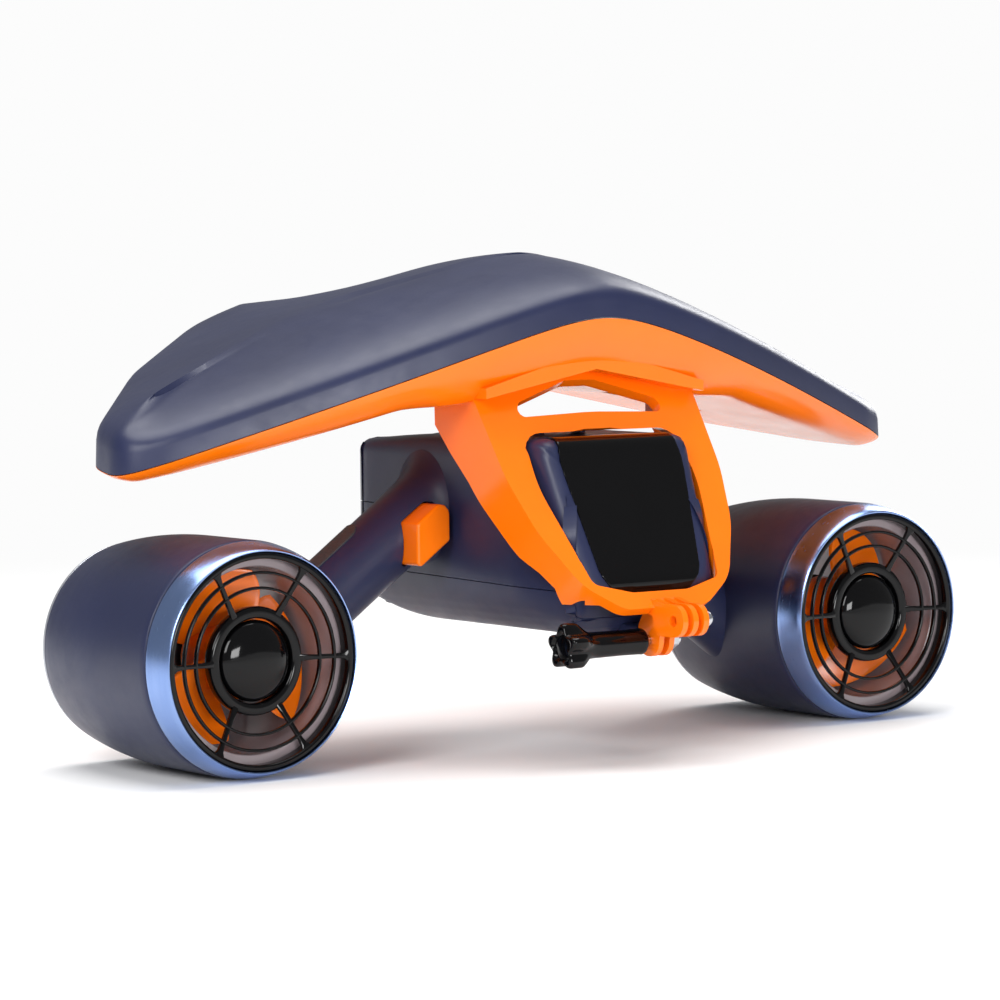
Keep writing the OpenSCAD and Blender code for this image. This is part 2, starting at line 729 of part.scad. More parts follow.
// Prongs are cut from one side profile; the first pair fits between the body's ears
module prong(x, w, line) {
  translate([x - w / 2, 0, 0]) rotate([90, 0, 90]) linear_extrude(w) polygon(rounded(line));
}
module bracket_prongs() {
  r = prong_r - 0.3;
  for (s = [-1, 1]) prong(s * prong_pitch / 2, prong_pitch - prong_t - 0.3, [
    [pivot[0] - r, pivot[1] - r, r - 0.1], [pivot[0] + r, pivot[1] - r, r - 0.1],
      [pivot[0] + r, pivot[1] + 7, 4],
    [-50.3, 17.2, 0], [-60.4, 21.3, 0], [-61.3, 7.7, 0]]);
  for (k = [-1:1]) prong(k * prong_pitch, prong_t, [
    [camera[0] - prong_r, camera[1] - prong_r, prong_r - 0.1], [-63.2, camera[1] - prong_r, 0],
      [-60.2, 11.1, 0],
    [-60.4, 22.1, 0], [-68.3, camera[1] + prong_r, 4],
      [camera[0] - prong_r, camera[1] + prong_r, prong_r - 0.1]]);
  prong(0, fork_w, [[-64.9, 6.3, 2], [-60.7, 8.4, 0], [-59.2, 14.1, 0], [-52.9, 15.9, 0],
    [-53.7, 24.3, 0], [-64.9, 19.2, 2]]);
}

module camera_hole() {
  translate([0, camera[0], camera[1]]) rod_x(prong_hole_r, -20, 20);
  translate([fork_w / 2 - 1.5, camera[0], camera[1]]) rotate([0, 90, 0]) cylinder(r = 4.72, h = 5, $fn = 6);
}
module camera_nut() { color("silver") translate([0, camera[0], camera[1]])
  hex_nut(fork_w / 2 - 1.45, fork_w / 2 + 2.6); }

module bracket_screw_places() {
  for (y = [10, 25]) pair() translate([44, y, keel_z(44) - 3]) children();
}
module bracket_screws() {
  color("silver") bracket_screw_places() union() { rod_z(1.8, -0.5, 11); rod_z(3.1, -3, -0.1); }
}

// ---- floater ----
function front_y(x) = -17.4 + 0.573 * (sqrt(x * x + 35194) - 187.6);
tip_y = front_y(float_half - 4);
rear_side = [[float_half, tip_y + 10, 9], [float_half - 17, tip_y + 32, 60],
  [float_half * 0.71, float_rear - 44, 60],
  [float_half * 0.45, float_rear, 40], [68, float_rear, 12], [56, float_rear - 42, 25],
    [40, float_rear - 66, 30],
  [0, float_rear - 73, 0]];
float_plan = concat([for (i = [-19:19]) [i * (float_half - 4) / 19, front_y(i * (float_half - 4) / 19), 0]],
  rear_side, [for (i = [len(rear_side) - 2:-1:0]) [-rear_side[i][0], rear_side[i][1], rear_side[i][2]]]);
function crown_z(x) = seam_z(x) + crown_h - 9 * pow(x / float_half, 2);
float_band = concat([for (x = band_x) [x, keel_z(x), 0]],
  [for (i = [len(band_x) - 1:-1:0]) [band_x[i], crown_z(band_x[i]), 0]]);
float_side = [[-30, 40, 0], [float_rear + 20, 40, 0], [float_rear + 20, seam_mid + crown_h - 12, 0],
  [120, seam_mid + crown_h - 2, 60], [70, seam_mid + crown_h, 60], [30, seam_mid + crown_h - 4, 60],
  [-12, seam_mid + 19, 20], [-30, seam_mid + 3, 0]];
module float_form(d) {
  intersection() {
    up_z(40, 200) polygon(rounded(inset(float_plan, d)));
    along_y(-40, float_rear + 30) polygon(rounded(inset(float_band, d)));
    along_x(float_span + 40) polygon(rounded(inset(float_side, d)));
  }
}
module above_float_seam(d) {
  along_y(-60, float_rear + 60) polygon(concat([for (x = band_x) [x * 1.05, seam_z(x * 1.05) + d]],
    [[300, 250], [-300, 250]]));
}
float_screw_half = [[80, 9], [146, 30], [float_half - 36, 66], [128, float_rear - 40],
  [76, float_rear - 24]];
module float_bosses(r) {
  translate([0, -3, 0]) rod_z(r, 40, 200);
  for (p = float_screw_half) pair() translate([p[0], p[1], 0]) rod_z(r, 40, 200);
}
module float_screw_set(shank, head, head_drop) {
  translate([0, -3, seam_z(0)]) float_screw(shank, head, head_drop);
  for (p = float_screw_half) pair() translate([p[0], p[1], seam_z(p[0])])
    float_screw(shank, head, head_drop);
}
module float_screw(shank, head, head_drop) {
  rod_z(shank, -5, 9);
  rod_z(head, -head_drop, -4.5);
}
module bracket_bosses(r) { bracket_screw_places() rod_z(r, 0, 16); }

module float_bottom() {
  color("darkorange") difference() {
    union() {
      difference() {
        float_form(0);
        float_form(float_wall);
      }
      intersection() {
        float_form(1);
        union() { float_bosses(5.2); bracket_bosses(4.5); }
      }
    }
    above_float_seam(-fit / 2);
    float_screw_set(1.6, 3.2, 40);
    bracket_screw_places() rod_z(1.9, -10, 12);
  }
}
module float_top() {
  color("midnightblue") difference() {
    intersection() {
      union() {
        difference() {
          float_form(0);
          float_form(float_wall);
        }
        intersection() { float_form(1); float_bosses(4.4); }
      }
      above_float_seam(fit / 2);
    }
    float_screw_set(1.6, 1.6, 6);
  }
}
module float_core() {
  color("whitesmoke") difference() {
    float_form(float_wall + 0.3);
    float_bosses(5.6);
    bracket_screw_places() rod_z(5, -20, 17);
  }
}
module float_screws() { color("silver") float_screw_set(1.5, 3, 6.5); }

placed() left() pod_shell();  // pod_shell_left
placed() right() pod_shell();  // pod_shell_right
placed() left() bezel();  // bezel_left
placed() right() bezel();  // bezel_right
placed() left() guard();  // guard_left
placed() right() guard();  // guard_right
placed() left() guard_cap();  // guard_cap_left
placed() right() guard_cap();  // guard_cap_right
placed() left() duct();  // duct_left
placed() right() duct();  // duct_right
placed() left() outlet_ring();  // outlet_ring_left
placed() right() outlet_ring();  // outlet_ring_right
placed() left() motor_mount();  // motor_mount_left
placed() right() motor_mount();  // motor_mount_right
placed() left() motor();  // motor_left
placed() right() motor();  // motor_right
placed() left() shaft_bush();  // shaft_bush_left
placed() right() shaft_bush();  // shaft_bush_right
placed() left() motor_shaft();  // motor_shaft_left
placed() right() motor_shaft();  // motor_shaft_right
placed() left() propeller();  // propeller_left
placed() right() propeller();  // propeller_right
placed() left() prop_nut();  // prop_nut_left
placed() right() prop_nut();  // prop_nut_right
placed() left() arm();  // arm_left
placed() right() arm();  // arm_right
placed() left() grip_pad();  // grip_pad_left
placed() right() grip_pad();  // grip_pad_right
placed() left() trigger();  // trigger_left
placed() right() trigger();  // trigger_right
placed() left() trigger_spring();  // trigger_spring_left
placed() right() trigger_spring();  // trigger_spring_right
placed() left() motor_cable();  // motor_cable_left
placed() right() motor_cable();  // motor_cable_right
placed() arm_screws();
placed() trigger_sensors();
placed() upper_shell();
placed() lower_hull();
placed() body_screws();
placed() nose_door();
placed() nose_panel();
placed() nose_seal();
placed() battery_pack();
placed() battery_contacts();
placed() control_board();
placed() display_lens();
placed() display_module();
placed() door_latch();
placed() latch_pin();
placed() latch_spring();
placed() clamp_knob();
placed() clamp_stud();
placed() clamp_nut();
placed() bracket();
placed() camera_nut();
placed() bracket_screws();
placed() float_bottom();
placed() float_top();
placed() float_core();
placed() float_screws();
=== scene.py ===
# %% [markdown]
# # A hand-held underwater scooter
# Two ducted thrusters hang on sloping handle arms, a sealed body sits between them, and a
# foam-cored floater stands over it on a tilting bracket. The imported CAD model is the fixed
# frame: it says where everything is. The pieces made here are the same pieces with the
# rounded edges, joint lines and finishes that the moulded product has.

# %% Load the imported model
import json
from math import cos, exp, pi, radians, sin, sqrt, tan

import bmesh
import bpy
import numpy as np
from mathutils import Matrix, Vector


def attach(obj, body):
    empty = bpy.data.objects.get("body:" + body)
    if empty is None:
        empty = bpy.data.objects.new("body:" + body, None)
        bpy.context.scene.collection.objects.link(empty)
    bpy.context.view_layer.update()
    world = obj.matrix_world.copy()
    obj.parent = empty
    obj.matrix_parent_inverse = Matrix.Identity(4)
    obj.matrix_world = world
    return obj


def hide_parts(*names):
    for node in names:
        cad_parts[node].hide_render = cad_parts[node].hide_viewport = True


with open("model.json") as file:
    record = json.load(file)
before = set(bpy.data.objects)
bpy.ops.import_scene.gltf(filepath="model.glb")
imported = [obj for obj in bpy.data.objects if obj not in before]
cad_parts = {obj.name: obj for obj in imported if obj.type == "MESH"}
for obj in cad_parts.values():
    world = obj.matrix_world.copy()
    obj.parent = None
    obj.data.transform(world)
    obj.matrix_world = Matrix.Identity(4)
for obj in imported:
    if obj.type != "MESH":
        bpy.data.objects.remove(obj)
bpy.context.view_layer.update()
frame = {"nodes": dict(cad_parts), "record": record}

# %% [markdown]
# ## The camera
# A long lens stands well back, so the two pods look nearly the same size. It comes first, and
# the room, the floor and the lights come last, when the pieces that they light are made.

# %% Camera
scene = bpy.context.scene
camera_data = bpy.data.cameras.new("camera")
camera_data.lens, camera_data.sensor_width = 157.64, 36.0
camera_data.clip_start, camera_data.clip_end = 0.05, 60.0
camera = bpy.data.objects.new("camera", camera_data)
bpy.context.collection.objects.link(camera)
camera_right = Vector((0.80669033, -0.59090265, -0.00920721))
camera_up = Vector((0.04574479, 0.04690189, 0.99785151))
camera_back = Vector((-0.58920126, -0.80537834, 0.06486602))
camera.matrix_world = (Matrix.Translation((-1.245907, -1.687836, 0.252269))
                       @ Matrix((camera_right, camera_up, camera_back)).transposed().to_4x4())
scene.camera = camera
scene.view_settings.view_transform = "Standard"
print("camera at", tuple(round(v, 3) for v in camera.location))

# %% [markdown]
# ## How a finish is made
# A real finish is never one flat value. Every material here starts from a Principled shader
# and takes three patterns on object coordinates: a slow mottle in the colour, a finer one in
# the roughness, and a grain that feeds the bump. One function adds a node, and one turns a
# paint-chart colour into the linear value that the shader wants.

# %% Colours and nodes
MM = 0.001


def linear(code):
    """The linear colour of an sRGB hex code."""
    parts = [int(code[i:i + 2], 16) / 255 for i in (0, 2, 4)]
    return [c / 12.92 if c < 0.04045 else ((c + 0.055) / 1.055) ** 2.4 for c in parts] + [1.0]


def add(tree, kind, values=None, links=None, **settings):
    """Adds one node, sets its options and socket values, and links its inputs."""
    made = tree.nodes.new(kind)
    for key, value in settings.items():
        setattr(made, key, value)
    for socket, value in (values or {}).items():
        made.inputs[socket].default_value = value
    for socket, source in (links or {}).items():
        tree.links.new(source, made.inputs[socket])
    return made


def blank(name):
    """A material with an empty tree and its output node."""
    made = bpy.data.materials.new(name)
    made.use_nodes = True
    made.node_tree.nodes.clear()
    return made, made.node_tree, made.node_tree.nodes.new("ShaderNodeOutputMaterial")


def finish(name, colour, other, rough, mottle_mm=60, smear_mm=12, grain_mm=0.8, grain=0.02,
           stretch=(1, 1, 1), amount=0.5, **shader):
    """A finish with a colour mottle, a roughness smear and a surface grain, sized in mm."""
    made, tree, out = blank(name)
    place = add(tree, "ShaderNodeTexCoord").outputs["Object"]
    place = add(tree, "ShaderNodeMapping", {"Scale": stretch}, {"Vector": place}).outputs["Vector"]
    mottle = add(tree, "ShaderNodeTexNoise", {"Scale": 1 / (mottle_mm * MM), "Detail": 4.0,
                                              "Roughness": 0.6}, {"Vector": place})
    smear = add(tree, "ShaderNodeTexNoise", {"Scale": 1 / (smear_mm * MM), "Detail": 5.0,
                                             "Roughness": 0.65}, {"Vector": place})
    fine = add(tree, "ShaderNodeTexNoise", {"Scale": 1 / (grain_mm * MM), "Detail": 2.0},
               {"Vector": place})
    ramp = add(tree, "ShaderNodeMapRange", {"From Min": 0.35, "From Max": 0.65, "To Max": amount},
               {"Value": mottle.outputs["Fac"]})
    mix = add(tree, "ShaderNodeMix", None, {"Factor": ramp.outputs["Result"]}, data_type="RGBA")
    for socket, code in ((6, colour), (7, other)):
        mix.inputs[socket].default_value = linear(code)
    rough_map = add(tree, "ShaderNodeMapRange", {"From Min": 0.3, "From Max": 0.7,
                                                 "To Min": rough[0], "To Max": rough[1]},
                    {"Value": smear.outputs["Fac"]})
    bump = add(tree, "ShaderNodeBump", {"Strength": 0.6, "Distance": grain * MM},
               {"Height": fine.outputs["Fac"]})
    skin = add(tree, "ShaderNodeBsdfPrincipled", shader,
               {"Base Color": mix.outputs[2], "Roughness": rough_map.outputs["Result"],
                "Normal": bump.outputs["Normal"]})
    tree.links.new(skin.outputs["BSDF"], out.inputs["Surface"])
    return made


# %% Finishes of the shells
FINISHES = {
    # Satin navy ABS under a thin matt varnish: a soft grey sheen, a fine even grain.
    "navy_shell": finish("moulded_abs_navy_satin", "1d2342", "232a4d", (0.36, 0.46), grain_mm=0.9,
                         grain=0.012, IOR=1.5),
    # Anodised aluminium, turned and then dyed pale blue: a metal with fine rings of tooling.
    "blue_metal": finish("anodised_aluminium_blue", "8fa9dc", "7b97d0", (0.2, 0.28), mottle_mm=40,
                         smear_mm=6, grain_mm=0.7, grain=0.004, stretch=(1, 6, 1), Metallic=1.0),
    # Piano-black ABS: deep, wet-looking, with only faint wipe marks in the gloss. Its index is set
    # below the 1.5 of solid ABS, which keeps the black deep in a white room.
    "gloss_black": finish("moulded_abs_piano_black", "050506", "08080a", (0.05, 0.11), smear_mm=30,
                          grain_mm=5, grain=0.006, IOR=1.33),
    # Smooth grey polycarbonate of the duct, glossy where the water runs.
    "duct_grey": finish("moulded_polycarbonate_grey", "8c8084", "9a8e92", (0.16, 0.26), smear_mm=8,
                        IOR=1.58),
    # Silver-sprayed trim ring.
    "outlet_silver": finish("sprayed_silver_abs", "b9bcc4", "a8abb3", (0.28, 0.36), grain_mm=0.6,
                            grain=0.01, Metallic=0.7),
    # Laminated steel of the motor can, potted and dull.
    "motor_steel": finish("lacquered_motor_steel", "5b6067", "474b52", (0.35, 0.5), smear_mm=5,
                          stretch=(1, 4, 1), Metallic=1.0),
    # Sintered bronze of the bush.
    "bush_bronze": finish("sintered_bronze", "a8763e", "8a5d2e", (0.35, 0.5), mottle_mm=3,
                          grain_mm=0.4, grain=0.03, Metallic=1.0),
    # Polished stainless steel of screws, nuts and pins.
    "bright_steel": finish("polished_stainless_steel", "d2d4d8", "b9bcc2", (0.14, 0.24),
                           mottle_mm=8, smear_mm=3, Metallic=1.0),
    # Signal-orange ABS with a high gloss, slightly deeper in hue where the wall is thick.
    "orange_plastic": finish("moulded_abs_orange_gloss", "ff7a06", "f96d02", (0.17, 0.25),
                             mottle_mm=90, smear_mm=25, grain_mm=3.5, grain=0.006, IOR=1.48),
    # Jacket of the motor lead.
    "cable_sheath": finish("extruded_pvc_black", "0b0b0c", "121214", (0.4, 0.5)),
    # Solder mask over glass fibre.
    "circuit_green": finish("solder_mask_green", "0a3a22", "0c4a2b", (0.3, 0.45), mottle_mm=4),
    # Nitrile rubber of the door seal.
    "seal_rubber": finish("nitrile_rubber_black", "101011", "18181a", (0.55, 0.7), grain=0.03),
    # Painted case of the battery.
    "battery_case": finish("painted_battery_case", "23262b", "1c1f24", (0.4, 0.5), grain=0.03),
    # Plated brass springs of the battery contacts.
    "contact_brass": finish("plated_brass", "c9a24c", "b58d3c", (0.2, 0.3), mottle_mm=3,
                            Metallic=1.0),
    # Smoked acrylic over the display.
    "display_glass": finish("smoked_acrylic", "06070a", "08090d", (0.03, 0.07), smear_mm=18,
                            IOR=1.49),
    # Glass-filled nylon of the latch.
    "latch_grey": finish("moulded_nylon_grey", "2b2c31", "24252a", (0.42, 0.55), grain_mm=0.7,
                         grain=0.03),
}
print(len(FINISHES), "finishes")

# %% [markdown]
# ## Rubber and foam
# The grip strip is soft rubber with a moulded stipple that stops a wet hand from slipping, and
# the floater's core is closed-cell foam. Both need a cell pattern instead of a smooth grain.


# %% Stippled rubber and foam
def cellular(name, colour, other, rough, cell_mm, depth):
    """A finish whose bump is a field of small round cells."""
    made, tree, out = blank(name)
    place = add(tree, "ShaderNodeTexCoord").outputs["Object"]
    cells = add(tree, "ShaderNodeTexVoronoi", {"Scale": 1 / (cell_mm * MM), "Randomness": 0.55},
                {"Vector": place})
    tint = add(tree, "ShaderNodeValToRGB", None, {"Fac": cells.outputs["Distance"]})
    tint.color_ramp.elements[0].color = linear(other)
    tint.color_ramp.elements[1].color = linear(colour)
    tint.color_ramp.elements[1].position = 0.6
    smear = add(tree, "ShaderNodeTexNoise", {"Scale": 1 / (15 * MM)}, {"Vector": place})
    rough_map = add(tree, "ShaderNodeMapRange", {"To Min": rough[0], "To Max": rough[1]},
                    {"Value": smear.outputs["Fac"]})
    bump = add(tree, "ShaderNodeBump", {"Strength": 0.8, "Distance": depth * MM},
               {"Height": cells.outputs["Distance"]}, invert=True)
    skin = add(tree, "ShaderNodeBsdfPrincipled", None,
               {"Base Color": tint.outputs["Color"], "Roughness": rough_map.outputs["Result"],
                "Normal": bump.outputs["Normal"]})
    tree.links.new(skin.outputs["BSDF"], out.inputs["Surface"])
    return made


# Stipple dots are 1.4 mm apart on the real strip.
FINISHES["grip_rubber"] = cellular("stippled_tpu_grey", "3c3f44", "2c2e33", (0.5, 0.65), 1.4, 0.12)
# Foam beads are 3 mm across.
FINISHES["float_foam"] = cellular("closed_cell_foam", "e6e5df", "cfcec7", (0.7, 0.85), 3.0, 0.3)

# %% Finishes on the CAD nodes
for sub in frame["record"]["subparts"]:
    node, choice = frame["nodes"][sub["node"]], FINISHES[sub["material_slot"]]
    if not node.material_slots:
        node.data.materials.append(choice)
    for held in node.material_slots:
        held.material = choice

# %% [markdown]
# ## Working in millimetres
# The maker's drawing has its origin midway between the two pods, on their axes, with the nose
# towards -Y. Each piece is modelled there in millimetres, with bmesh operators, and one
# function moves it into the frame, smooths it, and hangs it on its body.

# %% Helpers for modelling
BACK, POD_AXIS = 53.4, 54.0     # where the frame's origin lies in the drawing
POD_X = 181.5                   # the pods' axes
SHARP = radians(38)


def weigh_normals(mesh, limit):
    """Points each corner's normal by its faces' areas, so that broad flat faces look flat."""
    around = [[] for _ in mesh.vertices]
    for face in mesh.polygons:
        for index in face.vertices:
            around[index].append(face)
    normals = []
    for face in mesh.polygons:
        for index in face.vertices:
            near = [f for f in around[index] if f.normal.dot(face.normal) > limit]
            normals.append(sum((f.normal * f.area for f in near), Vector()).normalized())
    mesh.normals_split_custom_set(normals)


def piece(name, bm, body, slot, *nodes, sharp=SHARP, broad=False):
    """Turns a bmesh in drawing millimetres into a finished piece of the frame."""
    bmesh.ops.remove_doubles(bm, verts=bm.verts, dist=0.004)
    bmesh.ops.recalc_face_normals(bm, faces=bm.faces)
    bmesh.ops.translate(bm, verts=bm.verts, vec=(0, -BACK, POD_AXIS))
    bmesh.ops.scale(bm, verts=bm.verts, vec=(MM, MM, MM))
    mesh = bpy.data.meshes.new(name)
    bm.to_mesh(mesh)
    bm.free()
    mesh.shade_smooth()
    mesh.set_sharp_from_angle(angle=sharp)
    if broad:
        weigh_normals(mesh, cos(sharp))
    made = bpy.data.objects.new(name, mesh)
    bpy.context.collection.objects.link(made)
    mesh.materials.append(FINISHES[slot])
    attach(made, body)
    if nodes:
        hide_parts(*nodes)
    print(f"{name}: {len(mesh.polygons)} faces")
    return made


def turned(bm, profile, x=0.0, steps=128):
    """Spins a closed (radius, y) profile about a pod's axis."""
    verts = [bm.verts.new((x + r, y, 0)) for r, y in profile]
    edges = [bm.edges.new((a, b)) for a, b in zip(verts, verts[1:] + verts[:1])
             if (a.co - Vector((x, a.co.y, 0))).length + (b.co - Vector((x, b.co.y, 0))).length > 0]
    bmesh.ops.spin(bm, geom=verts + edges, cent=(x, 0, 0), axis=(0, 1, 0), angle=2 * pi,
                   steps=steps, use_merge=True)
    bmesh.ops.remove_doubles(bm, verts=bm.verts, dist=0.002)


def loft(bm, rings, closed_ends=True):
    """Joins rings of points: a circle of vertices is extruded from each ring to the next."""
    count = len(rings[0])
    loop = bmesh.ops.create_circle(bm, cap_ends=False, radius=1, segments=count)["verts"]
    for vert, point in zip(loop, rings[0]):
        vert.co = Vector(point)
    first = list(loop)
    for ring in rings[1:]:
        edges = [next(e for e in a.link_edges if e.other_vert(a) is b)
                 for a, b in zip(loop, loop[1:] + loop[:1])]
        made = bmesh.ops.extrude_edge_only(bm, edges=edges)["geom"]
        new = {g for g in made if isinstance(g, bmesh.types.BMVert)}
        loop = [next(e.other_vert(v) for e in v.link_edges if e.other_vert(v) in new) for v in loop]
        for vert, point in zip(loop, ring):
            vert.co = Vector(point)
    if closed_ends:
        bm.faces.new(first)
        bm.faces.new(loop)
    return loop


def rounded(points, steps=8):
    """A closed outline whose third numbers are corner radii, as a list of (u, v) points."""
    line, count = [], len(points)
    for i in range(count):
        a, b, c = (np.array(points[(i + k) % count][:2], float) for k in (-1, 0, 1))
        radius = points[i][2]
        u, v = (a - b) / np.linalg.norm(a - b), (c - b) / np.linalg.norm(c - b)
        half = np.arccos(np.clip(u @ v, -1, 1)) / 2
        if radius <= 0 or half > radians(89):
            line.append(b)
            continue
        start, end = b + u * radius / tan(half), b + v * radius / tan(half)
        mid = b + (u + v) / np.linalg.norm(u + v) * radius / sin(half)
        for k in range(steps + 1):
            way = (start - mid) * (1 - k / steps) + (end - mid) * k / steps
            line.append(mid + radius * way / np.linalg.norm(way))
    return [tuple(p) for p in line]


def mirrored(points):
    """An outline and its mirror image across the middle."""
    return list(points) + [(-p[0], *p[1:]) for p in reversed(points)]


# %% [markdown]
# ## Thruster pods
# A pod is four turned parts: the blue metal bezel, the navy shell, the grey duct inside them
# and the silver outlet ring. Turning is what `bmesh.ops.spin` does, so each starts as a closed
# profile of radius and distance along the axis, with its corners already broken.

# %% Bezel, shell, duct and outlet ring
POD_R, POD_LEN, BEZEL_LEN = 54.0, 116.0, 14.3
SHELL_BACK = POD_LEN - 4


def skin_radius(y):
    """Radius of the pod's outside, which draws in behind the middle."""
    return POD_R - 7.0 * max(0.0, (y - 56) / 60) ** 2


BEZEL = [(49.42, 0.7), (49.65, 0.15), (50.1, 0.0), (50.6, 0.55), (51.5, 3.2), (52.3, 6.2),
         (53.0, 9.2), (53.5, 12.0), (53.66, 13.4), (53.5, 13.95), (53.1, 14.1), (51.3, 14.1),
         (51.3, 11.1), (49.42, 8.0)]
shell_y = [BEZEL_LEN + 1.4 + i * (SHELL_BACK - BEZEL_LEN - 1.4) / 28 for i in range(29)]
SHELL = ([(52.6, BEZEL_LEN + 0.35), (53.3, BEZEL_LEN + 0.4), (53.75, BEZEL_LEN + 0.75)]
         + [(skin_radius(y), y) for y in shell_y[:-1]]
         + [(skin_radius(SHELL_BACK) - 0.25, SHELL_BACK - 0.3),
            (skin_radius(SHELL_BACK) - 0.7, SHELL_BACK - 0.1)]
         + [(skin_radius(y) - 2.4, y - 0.1) for y in reversed(shell_y)]
         + [(51.3, BEZEL_LEN + 0.35)])
DUCT = [(48.9, 8.1), (42.9, 8.1), (42.5, 8.6), (42.5, SHELL_BACK - 0.12), (44.5, SHELL_BACK - 0.12),
        (44.5, BEZEL_LEN - 0.2), (51.0, BEZEL_LEN - 0.2), (51.0, 11.4)]
OUTLET = [(42.5, SHELL_BACK + 0.1), (47.6, SHELL_BACK + 0.1), (47.75, SHELL_BACK + 0.4),
          (47.3, 114.2), (46.7, 115.2), (45.8, 115.8), (44.8, 116.0), (43.4, 116.0), (42.8, 115.7),
          (42.5, 115.0)]
SIDES = (("left", 1), ("right", -1))
for side, sign in SIDES:
    for part, profile, slot in (("bezel", BEZEL, "blue_metal"), ("pod_shell", SHELL, "navy_shell"),
                                ("duct", DUCT, "duct_grey"), ("outlet_ring", OUTLET, "outlet_silver")):
        bm = bmesh.new()
        turned(bm, profile, x=sign * POD_X, steps=144)
        piece(f"{part}_turned_{side}", bm, "scooter", slot, f"{part}_{side}")

# %% [markdown]
# ## Safety guard
# The guard keeps fingers out of the blades. It is one moulding: a rim, two thin rings, a hub
# ring and six spokes that swell into the rim, all lying on a shallow dish. Rings are turned,
# and a spoke is a flat outline that is extruded and has its edges rolled over.


# %% Guard and its domed cap
def dish(radius):
    """How far behind the pod's lip the guard lies at a radius."""
    return 2.2 + (47.0 - radius) * 4.2 / 22


def ring_section(radius, wide, deep, y, corner=0.5):
    """A rounded rectangle for a ring's wall."""
    w, d = wide / 2, deep / 2
    return [(radius + u, y + v) for u, v in rounded(
        [(-w, -d, corner), (w, -d, corner), (w, d, corner), (-w, d, corner)], 3)]


SPOKE = mirrored([(1.9, 20.0), (1.25, 28.0), (1.05, 36.0), (1.1, 42.0), (1.5, 44.6), (2.6, 46.2),
                  (4.6, 47.4), (4.6, 48.6)])
for side, sign in SIDES:
    bm = bmesh.new()
    turned(bm, ring_section(47.75, 3.0, 7.2, 4.3, 1.0), x=sign * POD_X)
    for radius in (33.0, 40.0):
        turned(bm, ring_section(radius, 1.35, 2.2, dish(radius), 0.45), x=sign * POD_X)
    turned(bm, ring_section(21.9, 5.4, 6.0, 8.8, 1.5), x=sign * POD_X)
    for k in range(6):
        verts = [bm.verts.new((u, dish(v) - 1.0, v)) for u, v in SPOKE]
        face = bm.faces.new(verts)
        made = bmesh.ops.extrude_face_region(bm, geom=[face])["geom"]
        deep = [g for g in made if isinstance(g, bmesh.types.BMVert)]
        bmesh.ops.translate(bm, verts=deep, vec=(0, 2.1, 0))
        rims = [e for e in set(verts[0].link_edges) | {e for v in verts + deep for e in v.link_edges}
                if abs(e.verts[0].co.y - e.verts[1].co.y) < 1.9]
        rolled = bmesh.ops.bevel(bm, geom=rims, offset=0.4, segments=2, profile=0.5,
                                 affect="EDGES", material=-1, clamp_overlap=True)["verts"]
        whole = {v for v in verts + deep + rolled if v.is_valid}
        bmesh.ops.rotate(bm, verts=list(whole), cent=(0, 0, 0),
                         matrix=Matrix.Rotation(radians(90 + 60 * k), 3, "Y"))
        bmesh.ops.translate(bm, verts=list(whole), vec=(sign * POD_X, 0, 0))
    piece(f"guard_moulded_{side}", bm, "scooter", "gloss_black", f"guard_{side}")
    bm = bmesh.new()
    cap = [(0.0, 2.6), (4.0, 2.68), (8.0, 3.0), (11.5, 3.6), (14.5, 4.55), (16.7, 5.75),
           (17.9, 6.9), (18.4, 8.2), (18.4, 12.0), (0.0, 12.0)]
    turned(bm, cap, x=sign * POD_X)
    piece(f"guard_cap_domed_{side}", bm, "scooter", "gloss_black", f"guard_cap_{side}")

# %% [markdown]
# ## Propellers
# Three broad blades wind round the hub like a screw thread. A flat grid is wrapped onto that
# thread, gets its thickness from solidify, and has its rim rolled over so that it catches light.


# %% Hub and blades
def roll_rims(bm, faces_angle, offset, segments=2, only=None):
    """Bevels every edge whose two faces meet at more than an angle."""
    edges = [e for e in bm.edges if len(e.link_faces) == 2 and e.calc_face_angle(0) > faces_angle
             and (only is None or only(e))]
    bmesh.ops.bevel(bm, geom=edges, offset=offset, segments=segments, profile=0.5,
                    affect="EDGES", material=-1, clamp_overlap=True)


HUB_R, TIP_R, BLADE_WRAP = 15.5, 40.3, radians(98)
HUB = [(2.56, 20.0), (11.0, 20.0), (13.6, 20.6), (15.0, 22.0), (HUB_R, 24.0), (HUB_R, 45.4),
       (15.0, 46.0), (2.56, 46.0)]
for side, sign in SIDES:
    bm = bmesh.new()
    for k in range(3):
        grid = bmesh.ops.create_grid(bm, x_segments=24, y_segments=12, size=1)["verts"]
        for vert in grid:
            chord, span = vert.co.x, (vert.co.y + 1) / 2
            radius = HUB_R - 1 + (TIP_R - HUB_R + 1) * span
            chord *= 1 - 0.16 * span ** 5
            angle = radians(20 + 120 * k) + chord * BLADE_WRAP / 2 + 0.16 * span
            vert.co = Vector((radius * sin(angle), 33 + chord * 11.6 - 1.2 * span, radius * cos(angle)))
    bmesh.ops.solidify(bm, geom=bm.faces[:], thickness=2.3)
    roll_rims(bm, radians(60), 0.7)
    if sign < 0:
        bmesh.ops.scale(bm, verts=bm.verts, vec=(-1, 1, 1))
    bmesh.ops.translate(bm, verts=bm.verts, vec=(sign * POD_X, 0, 0))
    turned(bm, HUB, x=sign * POD_X, steps=72)
    piece(f"propeller_moulded_{side}", bm, f"prop_{side}", "orange_plastic", f"propeller_{side}")

# %% [markdown]
# ## Handle arms, grip strips and triggers
# An arm is a round bar that swells softly where it grows out of the body and ends on the pod's
# barrel. It is lofted ring by ring, and the trigger's pocket is cut out of it. The grip strip
# is a patch of rubber that lies on the bar's back and top.

